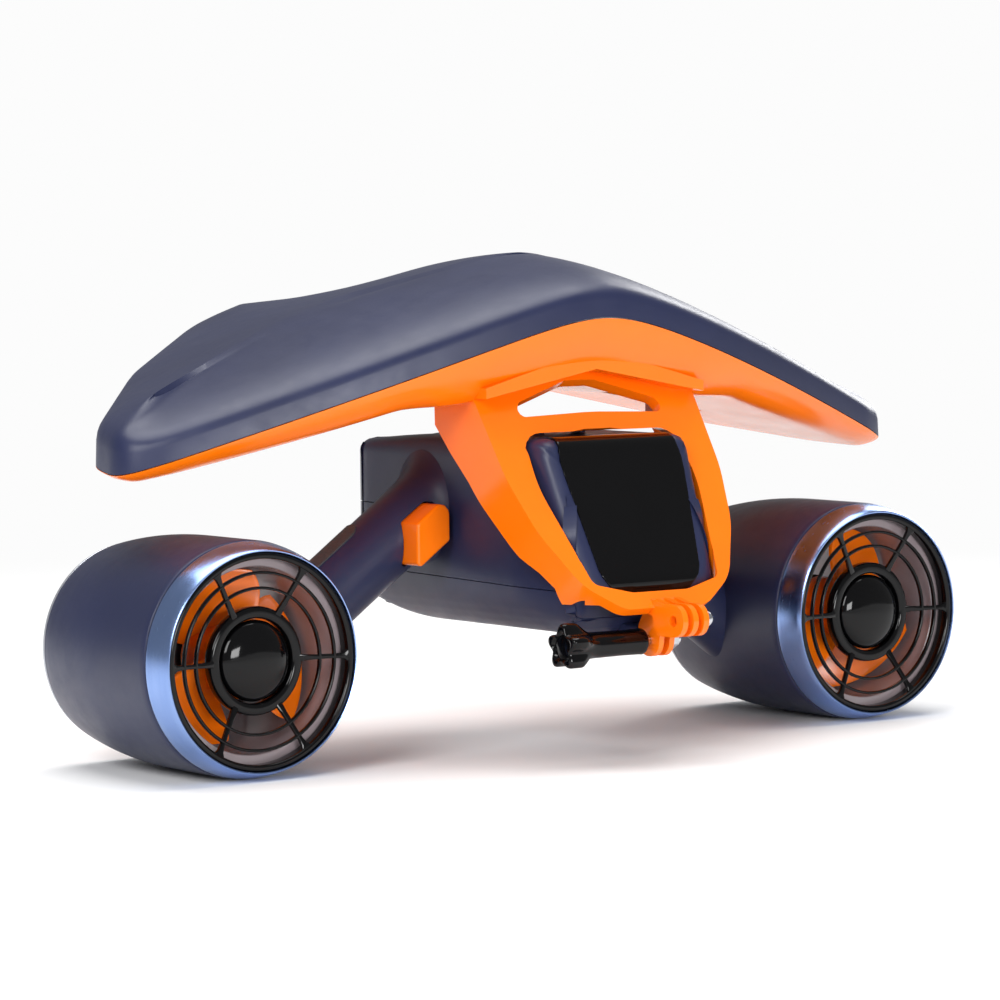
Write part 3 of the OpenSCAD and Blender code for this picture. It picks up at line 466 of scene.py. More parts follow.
# %% Arms
ARM_R, ARM_Y, ARM_TOP, BODY_HALF = 17.0, 70.0, 92.1, 46.5
SLOPE = radians(35.487)
ARM_ALONG = Vector((cos(SLOPE), 0, -sin(SLOPE)))
ARM_DOWN = Vector((-sin(SLOPE), 0, -cos(SLOPE)))
TRIGGER_MID = (58.0, ARM_TOP - 58.0 * tan(SLOPE) - 1)
TRIGGER_FRONT, TRIGGER_BACK, POCKET_FLOOR = 42.0, 58.5, 64.1


def on_arm(t, radius, angle):
    """A point at a distance along the arm, and round it from its underside."""
    return (Vector((0, ARM_Y, ARM_TOP)) + ARM_ALONG * t
            + radius * (cos(angle) * ARM_DOWN + sin(angle) * Vector((0, 1, 0))))


def reach_pod(radius, angle, hold=52.9):
    """How far along the arm a line on its surface meets the pod."""
    start = on_arm(0, radius, angle)
    dx, dz = start.x - POD_X, start.z
    b = dx * ARM_ALONG.x + dz * ARM_ALONG.z
    return -b - sqrt(b * b - (dx * dx + dz * dz - hold * hold))


def subtract(bm, cutter):
    """Cuts one closed bmesh out of another."""
    objects = []
    for shape in (bm, cutter):
        bmesh.ops.recalc_face_normals(shape, faces=shape.faces)
        mesh = bpy.data.meshes.new("cut")
        shape.to_mesh(mesh)
        shape.free()
        objects.append(bpy.data.objects.new("cut", mesh))
        bpy.context.collection.objects.link(objects[-1])
    knife = objects[0].modifiers.new("cut", "BOOLEAN")
    knife.operation, knife.object, knife.solver = "DIFFERENCE", objects[1], "EXACT"
    depsgraph = bpy.context.evaluated_depsgraph_get()
    result = bmesh.new()
    result.from_mesh(objects[0].evaluated_get(depsgraph).to_mesh())
    for held in objects:
        bpy.data.objects.remove(held)
    return result


def trigger_block(bm, grow, y0, y1):
    """The trigger's slanted block, grown on every side."""
    w, h = 9.5 + grow, 11 + grow * 1.3
    s = tan(SLOPE) * w
    line = rounded([(-w, s - h, 2.2), (w, -s - h, 2.2), (w, -s + h, 2.2), (-w, s + h, 5.0)], 6)
    face = bm.faces.new([bm.verts.new((TRIGGER_MID[0] + u, y0, TRIGGER_MID[1] + v)) for u, v in line])
    made = bmesh.ops.extrude_face_region(bm, geom=[face])["geom"]
    bmesh.ops.translate(bm, verts=[g for g in made if isinstance(g, bmesh.types.BMVert)],
                        vec=(0, y1 - y0, 0))


ROUND = [2 * pi * k / 72 for k in range(72)]
for side, sign in SIDES:
    rings = []
    for step in [0, 0.8, 1.8, 3, 4.5, 6.5, 9, 12, 16, 22]:
        swell = 5.2 * exp(-step / 4.5)
        rings.append([on_arm((BODY_HALF - 1.4 + (ARM_R + swell) * cos(a) * sin(SLOPE)) / cos(SLOPE)
                             + step, ARM_R + swell, a) for a in ROUND])
    for share in [0.15, 0.35, 0.6, 0.8, 1.0]:
        rings.append([on_arm((1 - share) * ((BODY_HALF - 1.4 + ARM_R * cos(a) * sin(SLOPE))
                                            / cos(SLOPE) + 22) + share * reach_pod(ARM_R, a),
                             ARM_R, a) for a in ROUND])
    bm = bmesh.new()
    loft(bm, rings)
    cutter = bmesh.new()
    trigger_block(cutter, 0.45, 20, POCKET_FLOOR)
    bm = subtract(bm, cutter)
    bmesh.ops.scale(bm, verts=bm.verts, vec=(sign, 1, 1))
    piece(f"arm_moulded_{side}", bm, "scooter", "navy_shell", f"arm_{side}")

# %% Grip strips
GRIP_T0, GRIP_T1 = 91.5, 141.0
for side, sign in SIDES:
    bm = bmesh.new()
    grid = bmesh.ops.create_grid(bm, x_segments=40, y_segments=34, size=1)["verts"]
    for vert in grid:
        u, v = vert.co.x, vert.co.y
        u2 = u * sqrt(max(0.0, 1 - max(0.0, abs(v) - 0.72) ** 2 / 0.28 ** 2 * 0.55))
        angle = radians(152 + 47 * u2)
        t = (GRIP_T0 + GRIP_T1) / 2 + (GRIP_T1 - GRIP_T0) / 2 * v
        vert.co = on_arm(t, ARM_R + 0.75, angle)
    bmesh.ops.recalc_face_normals(bm, faces=bm.faces)
    bmesh.ops.solidify(bm, geom=bm.faces[:], thickness=1.3)
    roll_rims(bm, radians(60), 0.45)
    bmesh.ops.scale(bm, verts=bm.verts, vec=(sign, 1, 1))
    piece(f"grip_strip_{side}", bm, "scooter", "grip_rubber", f"grip_pad_{side}")

# %% Triggers
for side, sign in SIDES:
    bm = bmesh.new()
    trigger_block(bm, 0, TRIGGER_FRONT, TRIGGER_BACK)
    roll_rims(bm, radians(60), 1.3, 4, only=lambda e: max(v.co.y for v in e.verts) < 43)
    cutter = bmesh.new()
    bore = bmesh.ops.create_cone(cutter, cap_ends=True, segments=32, radius1=3.6, radius2=3.6,
                                 depth=8)["verts"]
    bmesh.ops.rotate(cutter, verts=bore, cent=(0, 0, 0), matrix=Matrix.Rotation(pi / 2, 3, "X"))
    bmesh.ops.translate(cutter, verts=bore, vec=(TRIGGER_MID[0], TRIGGER_BACK - 3, TRIGGER_MID[1]))
    bm = subtract(bm, cutter)
    bmesh.ops.scale(bm, verts=bm.verts, vec=(sign, 1, 1))
    piece(f"trigger_moulded_{side}", bm, f"trigger_{side}", "orange_plastic", f"trigger_{side}")

# %% [markdown]
# ## Body
# The body is the space that three rounded outlines share: one seen from above, one from the
# side and one from the front. Where two outlines cross, the real moulding has a soft edge. So a
# subdivided cube is blown up inside that space until every vertex rests on the soft skin. The
# joint lines are then cut through it with planes, and each shell gets its wall.

# %% The skin of the body
HULL_Z, DECK_Z, BODY_REAR, NOSE_Y, NOSE_Z = 1.5, 96.5, 133.0, -51.0, 27.0
PLAN = rounded(mirrored([(BODY_HALF, BODY_REAR, 20), (BODY_HALF, -4, 40), (37, NOSE_Y - 3, 12)][::-1]), 12)
SIDE_LINE = rounded([(NOSE_Y, NOSE_Z, 9), (-31, HULL_Z, 22), (100, HULL_Z, 60), (BODY_REAR - 3, 16, 26),
                     (BODY_REAR, 60, 30), (BODY_REAR - 5, DECK_Z - 6.5, 7), (62, DECK_Z, 40),
                     (-22, DECK_Z, 7)], 12)
FRONT = rounded(mirrored([(BODY_HALF, HULL_Z, 34), (BODY_HALF, DECK_Z, 12)]), 12)
SOFT = 5.0


def signed(points, line):
    """Distance from points to a closed outline, negative inside it."""
    a = np.array(line, float)
    ab = np.roll(a, -1, axis=0) - a
    ap = points[:, None, :] - a[None]
    share = np.clip((ap * ab).sum(2) / (ab * ab).sum(1), 0, 1)
    away = np.sqrt(((ap - share[..., None] * ab) ** 2).sum(2)).min(1)
    x, y = points[:, None, 0], points[:, None, 1]
    up = (a[None, :, 1] > y) != (np.roll(a, -1, axis=0)[None, :, 1] > y)
    with np.errstate(divide="ignore", invalid="ignore"):
        cross = x < a[None, :, 0] + ab[:, 0] * (y - a[None, :, 1]) / ab[:, 1]
    return np.where((up & cross).sum(1) % 2 == 1, -away, away)


def skin_depth(p):
    """Distance from the body's soft skin, negative inside."""
    parts = np.stack([signed(p[:, [0, 1]], PLAN), signed(p[:, [1, 2]], SIDE_LINE),
                      signed(p[:, [0, 2]], FRONT)])
    lifted = np.sqrt((np.maximum(parts + SOFT, 0) ** 2).sum(0))
    return np.where(parts.max(0) > -SOFT, lifted, parts.max(0) + SOFT) - SOFT


def onto_skin(start, way, far=1.5, steps=18):
    """Where rays from inside the body meet its skin."""
    low, high = np.zeros(len(start)), np.full(len(start), far)
    for _ in range(steps):
        mid = (low + high) / 2
        inside = skin_depth(start + way * mid[:, None]) < 0
        low, high = np.where(inside, mid, low), np.where(inside, high, mid)
    return start + way * low[:, None]


def blown_body():
    """A subdivided cube with every vertex on the body's skin."""
    bm = bmesh.new()
    bmesh.ops.create_cube(bm, size=2)
    bmesh.ops.subdivide_edges(bm, edges=bm.edges[:], cuts=43, use_grid_fill=True)
    box = np.array([tuple(v.co) for v in bm.verts])
    box *= 1 - 0.12 * (np.sort(np.abs(box), axis=1)[:, 1:2] > 0.999)
    outer = box * [BODY_HALF, 92, 47.5] + [0, 41, 49]
    core = np.stack([outer[:, 0] * 0.35, np.clip(outer[:, 1], -14, 96), 49 + (outer[:, 2] - 49) * 0.3], 1)
    for vert, place in zip(bm.verts, onto_skin(core, outer - core, far=2.2)):
        vert.co = Vector(place)
    return bm


GAP = 0.22          # half of a joint line, a little wide so that it reads
NOSE_RUN = (DECK_Z - NOSE_Z) / (NOSE_Y + 22)
SEAM = [(-60, 25), (84, 28), (110, 60), (200, 61)]


def door_y(z):
    """Where the nose door's joint lies at a height."""
    return NOSE_Y + 17 + (NOSE_Z - z) / NOSE_RUN


def seam_height(y):
    """Height of the joint between the body's two shells."""
    return float(np.interp(y, [p[0] for p in SEAM], [p[1] for p in SEAM]))


def shell_of(keep, lift):
    """The part of the body's skin whose faces pass a test, after its joints are cut."""
    bm = blown_body()
    for (y0, z0), (y1, z1) in zip(SEAM, SEAM[1:]):
        normal = Vector((0, z0 - z1, y1 - y0)).normalized()
        near = [f for f in bm.faces if y0 - 4 < f.calc_center_median().y < y1 + 4]
        geom = list({v for f in near for v in f.verts} | {e for f in near for e in f.edges} | set(near))
        bmesh.ops.bisect_plane(bm, geom=geom, plane_co=Vector((0, y0, z0)) + normal * lift,
                               plane_no=normal, dist=0.001)
    shift = GAP if lift else -GAP
    bmesh.ops.bisect_plane(bm, geom=bm.verts[:] + bm.edges[:] + bm.faces[:],
                           plane_co=(0, door_y(50) + shift, 50), plane_no=(0, 1, 1 / NOSE_RUN), dist=0.001)
    lost = [f for f in bm.faces if not keep(f.calc_center_median(), shift, lift)]
    bmesh.ops.delete(bm, geom=lost, context="FACES")
    return bm


def behind_door(c, shift):
    """True for a point on the body's side of the nose door's joint."""
    return c.y > door_y(c.z) + shift


def thickened(bm, thickness):
    """Copies an open skin inwards along its normals and joins the two at their rims."""
    bm.normal_update()
    made = bmesh.ops.extrude_face_region(bm, geom=bm.faces[:], use_keep_orig=True)["geom"]
    for vert in made:
        if isinstance(vert, bmesh.types.BMVert):
            vert.co -= vert.normal * thickness


# %% Walls, plates and bars
def walled(bm, thickness):
    """Turns an open skin to face outwards and gives it its wall, inwards."""
    bmesh.ops.recalc_face_normals(bm, faces=bm.faces)
    centre = Vector((0, 40, 49))
    if sum((f.calc_center_median() - centre).dot(f.normal) * f.calc_area() for f in bm.faces) < 0:
        bmesh.ops.reverse_faces(bm, faces=bm.faces)
    thickened(bm, thickness)


def slab(bm, x0, x1, line):
    """Extrudes an outline of (y, z) points across the scooter."""
    face = bm.faces.new([bm.verts.new((x0, y, z)) for y, z in line])
    made = bmesh.ops.extrude_face_region(bm, geom=[face])["geom"]
    new = [g for g in made if isinstance(g, bmesh.types.BMVert)]
    bmesh.ops.translate(bm, verts=new, vec=(x1 - x0, 0, 0))


def rod(bm, radius, x0, x1, y, z, segments=48):
    """A round bar across the scooter."""
    verts = bmesh.ops.create_cone(bm, cap_ends=True, segments=segments, radius1=radius,
                                  radius2=radius, depth=x1 - x0)["verts"]
    bmesh.ops.rotate(bm, verts=verts, cent=(0, 0, 0), matrix=Matrix.Rotation(pi / 2, 3, "Y"))
    bmesh.ops.translate(bm, verts=verts, vec=((x0 + x1) / 2, y, z))


def joined(*shapes):
    """One bmesh that holds several closed ones."""
    whole = bmesh.new()
    for shape in shapes:
        mesh = bpy.data.meshes.new("part")
        shape.to_mesh(mesh)
        shape.free()
        whole.from_mesh(mesh)
        bpy.data.meshes.remove(mesh)
    return whole


# %% Upper shell with the latch's two lugs
SHELL_WALL, DOOR_WALL, LUG_X, LUG_T = 2.6, 3.2, 12.1, 3.0
LUG = rounded([(17.5, 91, 1), (26.5, 91, 1), (25.2, 102.6, 3.2), (18.8, 102.6, 3.2)], 6)
upper = shell_of(lambda c, shift, lift: behind_door(c, shift)
                 and c.z > seam_height(c.y) + lift - 0.05, GAP)
walled(upper, SHELL_WALL)
lugs = bmesh.new()
for sign in (-1, 1):
    slab(lugs, sign * LUG_X - LUG_T / 2, sign * LUG_X + LUG_T / 2, LUG)
roll_rims(lugs, radians(50), 0.4)
piece("upper_shell_moulded", joined(upper, lugs), "scooter", "navy_shell", "upper_shell")

# %% Lower hull with the three ears of the screw joint
PIVOT_Y, PIVOT_Z, PRONG_T, PITCH = -52.0, 2.0, 3.0, 6.1
hull = shell_of(lambda c, shift, lift: behind_door(c, shift)
                and c.z < seam_height(c.y) + lift + 0.05, -GAP)
walled(hull, SHELL_WALL)
EAR = rounded([(PIVOT_Y - 7.4, PIVOT_Z - 7.4, 7.3), (-40, PIVOT_Z - 7.0, 12), (-27, 3.0, 3),
               (-27, 9.5, 2), (-38, 9, 3), (PIVOT_Y - 7.4, PIVOT_Z + 7.4, 7.3)], 8)
FOOT = rounded([(-43.5, -3, 2), (-38, -4.4, 3), (-24, 2.6, 2), (-24, 8.5, 2), (-37, 9, 3),
                (-43.5, 8, 2)], 4)
ears = bmesh.new()
for k in (-1, 0, 1):
    slab(ears, k * PITCH - PRONG_T / 2, k * PITCH + PRONG_T / 2, EAR)
roll_rims(ears, radians(50), 0.45)
bore = bmesh.new()
rod(bore, 2.62, -30, 30, PIVOT_Y, PIVOT_Z)
foot = bmesh.new()
slab(foot, -7.6, 7.6, FOOT)
roll_rims(foot, radians(50), 0.45)
piece("lower_hull_moulded", joined(hull, subtract(ears, bore), foot), "scooter", "navy_shell",
      "lower_hull")

# %% [markdown]
# ## Nose door and its glossy panel
# The front of the body is a door over the battery. Its navy frame shows as two side cheeks, and
# a piano-black panel covers the middle and wraps over the top edge. The panel is a grid laid on
# the same skin, and the frame is sunk under it.

# %% Door and panel
PANEL = rounded(mirrored([(-18, NOSE_Z - 6, 12), (-29, NOSE_Z + 6, 14), (-36, DECK_Z - 10, 10),
                          (-32, DECK_Z + 6, 12)]), 10)
PANEL_TURN, PANEL_LIFT, PANEL_T, SINK = 0.86, 0.6, 1.6, 2.2
panel_z = np.linspace(NOSE_Z - 5.9, DECK_Z + 1, 400)
ring = np.array(PANEL + PANEL[:1])


def widest(level):
    """Half the width of the panel's outline at a height."""
    cuts = [abs(a[0] + (b[0] - a[0]) * (level - a[1]) / (b[1] - a[1])) for a, b in zip(ring, ring[1:])
            if (a[1] - level) * (b[1] - level) <= 0 and a[1] != b[1]]
    return max(cuts) if cuts else 6.0


panel_half = [widest(level) for level in panel_z]


def half_width(z):
    """Half the panel's width at a height, read from a table."""
    return float(np.interp(z, panel_z, panel_half))


def panel_ray(u, v):
    """Start and direction of the ray that finds the panel's point (u across, v upwards)."""
    z = NOSE_Z - 5.8 + v * (DECK_Z - NOSE_Z - 1)
    if v < PANEL_TURN:
        return (half_width(z) * u, -12, z), (0, -50, -4 * v)
    turn = (v - PANEL_TURN) / 0.14
    return ((half_width(DECK_Z - 12) - 3 * turn) * u, -12 - 1.5 * turn, DECK_Z - 14), (
        0, -50 * cos(turn * 1.5), 50 * sin(turn * 1.5))


bm = shell_of(lambda c, shift, lift: not behind_door(c, shift), 0)
for vert in bm.verts:
    inside = half_width(min(vert.co.z, DECK_Z - 12)) - 1.2 - abs(vert.co.x)
    inside = min(inside, vert.co.z - NOSE_Z + 4.0)
    inward = Vector((vert.co.x * 0.6, 10, 60)) - vert.co
    vert.co += inward.normalized() * SINK * min(max(inside / 2.5, 0), 1)
walled(bm, DOOR_WALL)
piece("nose_door_moulded", bm, "scooter", "navy_shell", "nose_door")
bm = bmesh.new()
grid = bmesh.ops.create_grid(bm, x_segments=56, y_segments=70, size=1)["verts"]
rays = [panel_ray(v.co.x, (v.co.y + 1) / 2) for v in grid]
starts, ways = (np.array([r[k] for r in rays], float) for k in (0, 1))
for vert, place in zip(grid, onto_skin(starts, ways, far=1.6)):
    vert.co = Vector(place)
bmesh.ops.recalc_face_normals(bm, faces=bm.faces)
if sum(f.normal.y for f in bm.faces) > 0:
    bmesh.ops.reverse_faces(bm, faces=bm.faces)
bm.normal_update()
for vert in bm.verts:
    vert.co += vert.normal * PANEL_LIFT
thickened(bm, PANEL_T)
roll_rims(bm, radians(60), 0.3)
piece("nose_panel_glossy", bm, "scooter", "gloss_black", "nose_panel")

# %% [markdown]
# ## Tilting bracket
# The bracket is one orange moulding: an inclined ring with a deep skirt, a flange under the
# floater and the prongs of two screw joints at its foot. The CAD solid has all of its openings
# in place, so a copy of it is cleaned up into flat faces and the rim of its ring's front face is broken.


# %% Bracket
def copy_of(node):
    """A merged copy of a CAD node in drawing millimetres, with its flat faces made whole."""
    bm = bmesh.new()
    bm.from_mesh(frame["nodes"][node].data)
    bmesh.ops.scale(bm, verts=bm.verts, vec=(1 / MM, 1 / MM, 1 / MM))
    bmesh.ops.translate(bm, verts=bm.verts, vec=(0, BACK, -POD_AXIS))
    bmesh.ops.remove_doubles(bm, verts=bm.verts, dist=0.01)
    bmesh.ops.dissolve_limit(bm, angle_limit=radians(0.6), verts=bm.verts, edges=bm.edges)
    return bm


PLATE_OUT = Vector((0, -0.8425, 0.5388))        # the way the ring's front face looks


def on_ring_front(edge):
    """True for the rim edges of the ring's front face."""
    return sum(f.normal.dot(PLATE_OUT) > 0.999 for f in edge.link_faces) == 1


bm = copy_of("bracket")
roll_rims(bm, radians(50), 1.0, 3, only=on_ring_front)
piece("bracket_moulded", bm, "floater", "orange_plastic", "bracket", sharp=radians(33), broad=True)

# %% [markdown]
# ## Floater
# The floater is a wing of two shells over a foam core. Each shell is lofted inwards from its
# outline: a few rings follow the edge, so that the wall and its rounded corner are crisp, and
# the rest shrink onto a line along the wing's middle. A height table read by the distance from
# the edge gives the wall, the shoulder and the gentle crown. The top has two such tables, one
# for the front and one for the tips and the rear.

# %% Floater outline
FLOAT_HALF, FLOAT_REAR, SEAM_TOP = 229.0, 189.0, 150.2
DROOP, DROOP_ROUND, DROOP_ZERO = 0.338, 795, 28.2    # slope of the wings and its soft start
SEAM_HALF, SKIN_IN, CORE_IN = 0.25, 2.2, 3.4         # half the joint line, wall, and foam inset
PAD_HALF, PAD_FADE = 104, 44        # where the thicker middle of the underside ends, and its fade


def front_y(x):
    """Front edge of the floater seen from above."""
    return -17.4 + 0.573 * (sqrt(x * x + 35194) - 187.6)


TIP_Y = front_y(FLOAT_HALF - 4)
REAR_HALF = [(FLOAT_HALF - 1, TIP_Y + 5, 15), (FLOAT_HALF - 11, TIP_Y + 42, 45), (162.6, 147, 60),
             (103, FLOAT_REAR, 40), (68, FLOAT_REAR, 12), (56, FLOAT_REAR - 42, 25),
             (40, FLOAT_REAR - 66, 30)]
coarse = rounded([(x, front_y(x), 0) for x in np.linspace(-207, 207, 57)]
                 + REAR_HALF + [(0, FLOAT_REAR - 73, 0)]
                 + [(-x, y, r) for x, y, r in REAR_HALF[::-1]], 10)


def evenly(line, count):
    """Points spaced evenly round a closed outline."""
    a = np.array(line + line[:1])
    run = np.concatenate([[0], np.cumsum(np.linalg.norm(np.diff(a, axis=0), axis=1))])
    at = np.linspace(0, run[-1], count, endpoint=False)
    return np.stack([np.interp(at, run, a[:, k]) for k in (0, 1)], 1)


edge = evenly(coarse, 420)
for _ in range(3):
    edge = (np.roll(edge, 1, 0) + 2 * edge + np.roll(edge, -1, 0)) / 4
along = np.roll(edge, -1, 0) - np.roll(edge, 1, 0)
inward = np.stack([-along[:, 1], along[:, 0]], 1) / np.linalg.norm(along, axis=1)[:, None]
MIDDLE = ([0, 40, 75, 110, 160, 200], [50, 58, 80, 82, 74, 70])
middle_x = edge[:, 0] * 0.86
middle = np.stack([middle_x, np.interp(np.abs(middle_x), *MIDDLE)], 1)
OFFSETS = [0, 0.35, 0.9, 1.7, 2.8, 4.2, 6.0, 8.0]
SHARES = [0.06, 0.13, 0.2, 0.28, 0.37, 0.47, 0.58, 0.7, 0.82, 0.91, 0.97]


def plan_rings(inset):
    """Rings from the outline to the middle line, seen from above."""
    rings = [edge + inward * (inset + d) for d in OFFSETS]
    return rings + [rings[-1] * (1 - t) + middle * t for t in SHARES]


CROWN = ([0, 0.3, 0.9, 2.0, 4.0, 7.0, 12, 20, 30, 45, 60, 80, 120],
         [0, 8.0, 10.6, 12.4, 14.2, 16.0, 18.2, 21.0, 23.6, 26.6, 28.8, 30.6, 31.0])
CROWN_REAR = ([0, 0.3, 0.9, 2.0, 4.0, 7.0, 12, 20, 30, 45, 60, 80, 120],
              [0, 12.0, 16.0, 18.8, 21.0, 22.6, 24.2, 26.0, 27.4, 29.0, 30.0, 30.8, 31.0])
KEEL = ([0, 0.6, 2.5, 6.0, 10, 14, 20, 34, 60, 120],
        [0, 2.2, 6.6, 11.8, 16.0, 17.6, 18.0, 18.0, 18.0, 18.0])
# The wall is low along the front and tall round the tips and the rear.
rearward = np.clip((0.85 - inward[:, 1]) / 0.7, 0, 1)
for _ in range(14):
    rearward = (np.roll(rearward, 1) + rearward + np.roll(rearward, -1)) / 3


def read_soft(distance, table):
    """Reads a height table and rounds its corners."""
    return sum(np.interp(distance * w, *table) for w in (0.9, 1.0, 1.1)) / 3


def skin_rings(inset, table, way, tip_loss, clear=0.0, rear=None, pad=0.0):
    """3-D rings of one shell's skin: way is 1 upwards and -1 downwards."""
    rings = []
    outline = [tuple(p) for p in edge]
    for ring in plan_rings(inset):
        depth = np.maximum(np.abs(signed(ring, outline)) - inset, 0)
        x = ring[:, 0]
        level = SEAM_TOP - DROOP * (np.sqrt(x * x + DROOP_ROUND) - DROOP_ZERO)
        near = np.clip((PAD_HALF - np.abs(x)) / PAD_FADE, 0, 1)
        full = 1 - tip_loss * (x / FLOAT_HALF) ** 2 + pad * near * near * (3 - 2 * near)
        height = read_soft(depth, table)
        if rear:
            height = height * (1 - rearward) + read_soft(depth, rear) * rearward
        z = level + way * (height * full + clear)
        rings.append([Vector((p[0], p[1], h)) for p, h in zip(ring, z)])
    return rings


def skinned(inner, outer):
    """A closed shell: the inner rings run out to the rim, the outer ones run back to the middle."""
    bm = bmesh.new()
    last = loft(bm, inner[::-1] + outer, closed_ends=False)
    for rim in (last, [v for v in bm.verts if v.is_boundary and v not in set(last)]):
        slot = {e for v in rim for e in v.link_edges if e.is_boundary}
        bmesh.ops.triangle_fill(bm, use_beauty=True, edges=list(slot), normal=(0, 0, 1))
    return bm


# %% Floater shells and core
CROWN_IN = ([0, 0.3, 2, 4, 8, 15, 25, 40, 60, 80, 120],
            [0, 7.5, 10.5, 12.5, 14.5, 17.0, 20.5, 23.8, 27.0, 28.7, 29.0])
KEEL_IN = ([0, 0.5, 2, 4, 9, 15, 22, 60], [0, 3.6, 6.3, 8.8, 12.6, 14.8, 15.6, 15.7])
piece("float_top_shell", skinned(skin_rings(SKIN_IN, CROWN_IN, 1, 0.29, SEAM_HALF),
                                 skin_rings(0.0, CROWN, 1, 0.12, SEAM_HALF, rear=CROWN_REAR)),
      "floater", "navy_shell", "float_top")
piece("float_bottom_shell", skinned(skin_rings(SKIN_IN, KEEL_IN, -1, 0.68, SEAM_HALF),
                                    skin_rings(0.0, KEEL, -1, 0.68, SEAM_HALF, pad=0.4)),
      "floater", "orange_plastic", "float_bottom", sharp=radians(60))
CORE_UP = ([0, 0.5, 4, 12, 30, 60, 120], [5, 6.5, 10.5, 14, 19, 24, 26])
CORE_DOWN = ([0, 0.5, 4, 12, 30, 120], [1, 1.5, 5, 11, 14, 14])
core = skinned(skin_rings(CORE_IN, CORE_DOWN, -1, 0.74), skin_rings(CORE_IN, CORE_UP, 1, 0.36))
piece("float_core_foam", core, "floater", "float_foam", "float_core")

# %% [markdown]
# ## Clamp knob and the acorn nut
# A five-lobed thumb screw locks the bracket's tilt from the rider's right, and a domed nut holds
# the camera prongs' screw on the other side. Both are lofted or turned along the screw's axis.

# %% Knob and nut
KNOB = [(-54.2, 0.30, 0), (-53.6, 0.52, 0.1), (-54.6, 0.62, 0.4), (-55.0, 0.76, 0.8),
        (-54.8, 0.9, 1.0), (-54.2, 0.97, 1.0), (-53.2, 1.0, 1.0), (-47.5, 1.0, 1.0),
        (-46.2, 0.97, 1.0), (-44.2, 0.84, 0.8), (-42.0, 0.68, 0.35), (-40.0, 0.575, 0.05),
        (-36, 0.55, 0), (-20, 0.535, 0), (-10.4, 0.545, 0), (-9.2, 0.56, 0), (-8.5, 0.53, 0),
        (-8.3, 0.47, 0)]
KNOB_R, CAMERA_Y, CAMERA_Z = 11, -74.7, 12.7
turns = [2 * pi * k / 120 for k in range(120)]
rings = []
for x, size, lobes in KNOB:
    reach = [KNOB_R * size * (1 - 0.17 * lobes * (1 - cos(5 * a))) for a in turns]
    rings.append([Vector((x, PIVOT_Y + r * sin(a), PIVOT_Z + r * cos(a))) for r, a in zip(reach, turns)])
bm = bmesh.new()
loft(bm, rings)
bore = bmesh.new()
rod(bore, 2.52, -34, 0, PIVOT_Y, PIVOT_Z)
piece("clamp_knob_moulded", subtract(bm, bore), "clamp_screw", "gloss_black", "clamp_knob")
bm = bmesh.new()
rod(bm, 4.6, 6.2, 10.4, CAMERA_Y, CAMERA_Z, segments=6)
roll_rims(bm, radians(50), 0.4)
dome = bmesh.ops.create_uvsphere(bm, u_segments=40, v_segments=20, radius=3.9)["verts"]
bmesh.ops.scale(bm, verts=dome, vec=(1.15, 1, 1))
bmesh.ops.translate(bm, verts=dome, vec=(10.4, CAMERA_Y, CAMERA_Z))
piece("camera_nut_acorn", bm, "floater", "bright_steel", "camera_nut")

# %% [markdown]
# ## Studio
# A big softbox stands to the front left, a second one hangs overhead, and a strip behind on the
# right draws a rim on the dark shells. The room itself is white to look at and dimmer as a
# light, because glossy black would otherwise go grey.
# The studio is a white sweep: near the scooter the floor is a matt white sheet that takes soft
# shadows, and further out it turns into an even glow that meets the white room without a
# horizon.

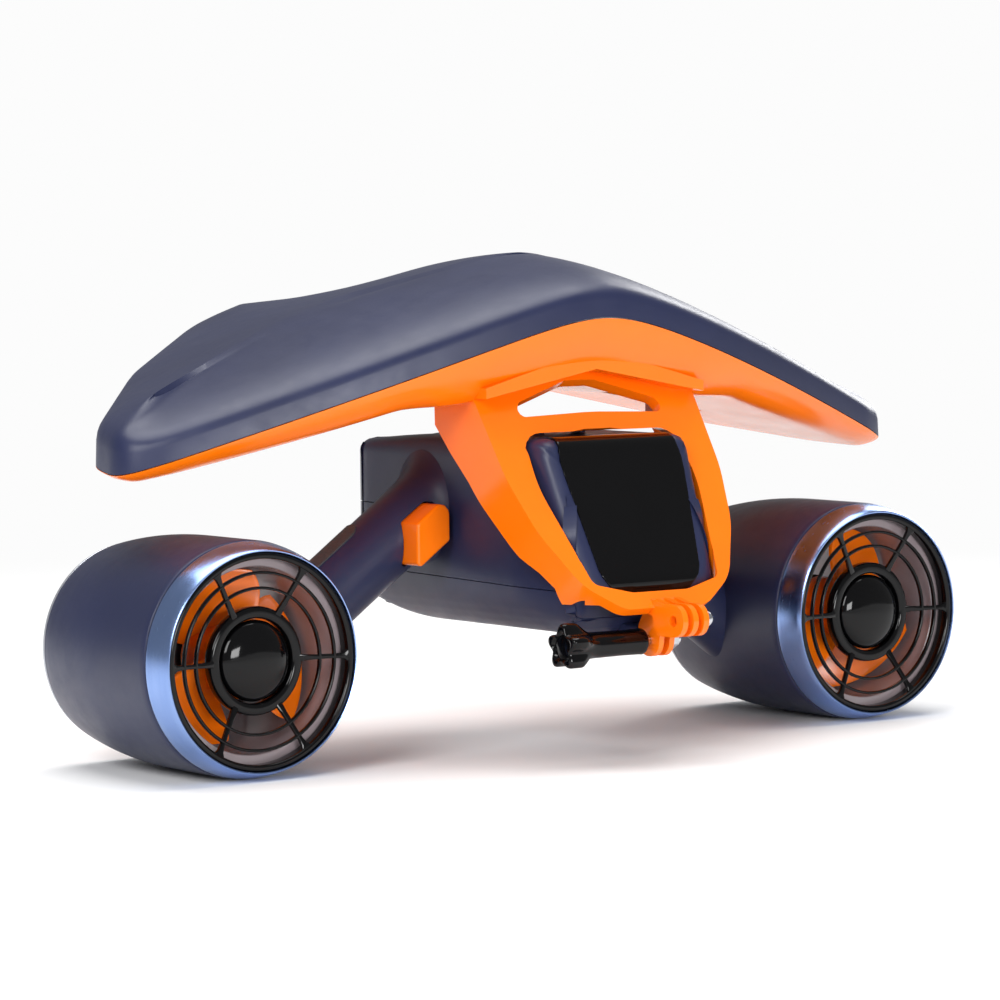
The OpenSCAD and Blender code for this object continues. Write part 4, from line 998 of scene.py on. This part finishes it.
# %% Floor, room and lights
bm = bmesh.new()
bmesh.ops.create_circle(bm, cap_ends=True, segments=96, radius=14)
mesh = bpy.data.meshes.new("floor")
bm.to_mesh(mesh)
bm.free()
floor = bpy.data.objects.new("floor", mesh)
bpy.context.collection.objects.link(floor)
floor_finish, tree, out = blank("white_paper_sweep")
where = add(tree, "ShaderNodeTexCoord").outputs["Object"]
away = add(tree, "ShaderNodeVectorMath", None, {0: where}, operation="LENGTH")
fade = add(tree, "ShaderNodeMapRange", {"From Min": 0.35, "From Max": 1.3},
           {"Value": away.outputs["Value"]}, interpolation_type="SMOOTHERSTEP")
paper = add(tree, "ShaderNodeBsdfDiffuse", {"Color": linear("fbfbfb")})
glow = add(tree, "ShaderNodeEmission", {"Color": linear("fcfcfc"), "Strength": 1.0})
mixed = add(tree, "ShaderNodeMixShader", None, {0: fade.outputs["Result"], 1: paper.outputs["BSDF"],
                                                2: glow.outputs["Emission"]})
tree.links.new(mixed.outputs["Shader"], out.inputs["Surface"])
mesh.materials.append(floor_finish)

room = bpy.data.worlds.new("room")
room.use_nodes = True
scene.world = room
tree = room.node_tree
tree.nodes.clear()
seen = add(tree, "ShaderNodeBackground", {"Color": linear("fcfcfc"), "Strength": 1.0})
felt = add(tree, "ShaderNodeBackground", {"Color": linear("ffffff"), "Strength": 0.3})
path = add(tree, "ShaderNodeLightPath")
both = add(tree, "ShaderNodeMixShader", None, {0: path.outputs["Is Camera Ray"],
                                               1: felt.outputs["Background"],
                                               2: seen.outputs["Background"]})
add(tree, "ShaderNodeOutputWorld", None, {"Surface": both.outputs["Shader"]})


def softbox(name, place, aim, wide, high, watts):
    """A rectangular area light that looks at a point."""
    data = bpy.data.lights.new(name, "AREA")
    data.shape, data.size, data.size_y, data.energy = "RECTANGLE", wide, high, watts
    lamp = bpy.data.objects.new(name, data)
    bpy.context.collection.objects.link(lamp)
    lamp.location = place
    lamp.rotation_euler = (Vector(aim) - Vector(place)).to_track_quat("-Z", "Y").to_euler()


softbox("key_softbox", (-2.2, -1.3, 1.5), (0, 0, 0.1), 1.0, 1.3, 42)
softbox("overhead_softbox", (0.1, 0.3, 2.2), (0, 0, 0.1), 2.2, 1.6, 48)
softbox("rim_strip", (1.9, 1.2, 0.9), (0, 0, 0.1), 0.5, 1.4, 16)
softbox("front_fill", (-0.5, -3.0, 0.45), (0, 0, 0.05), 1.2, 0.6, 40)
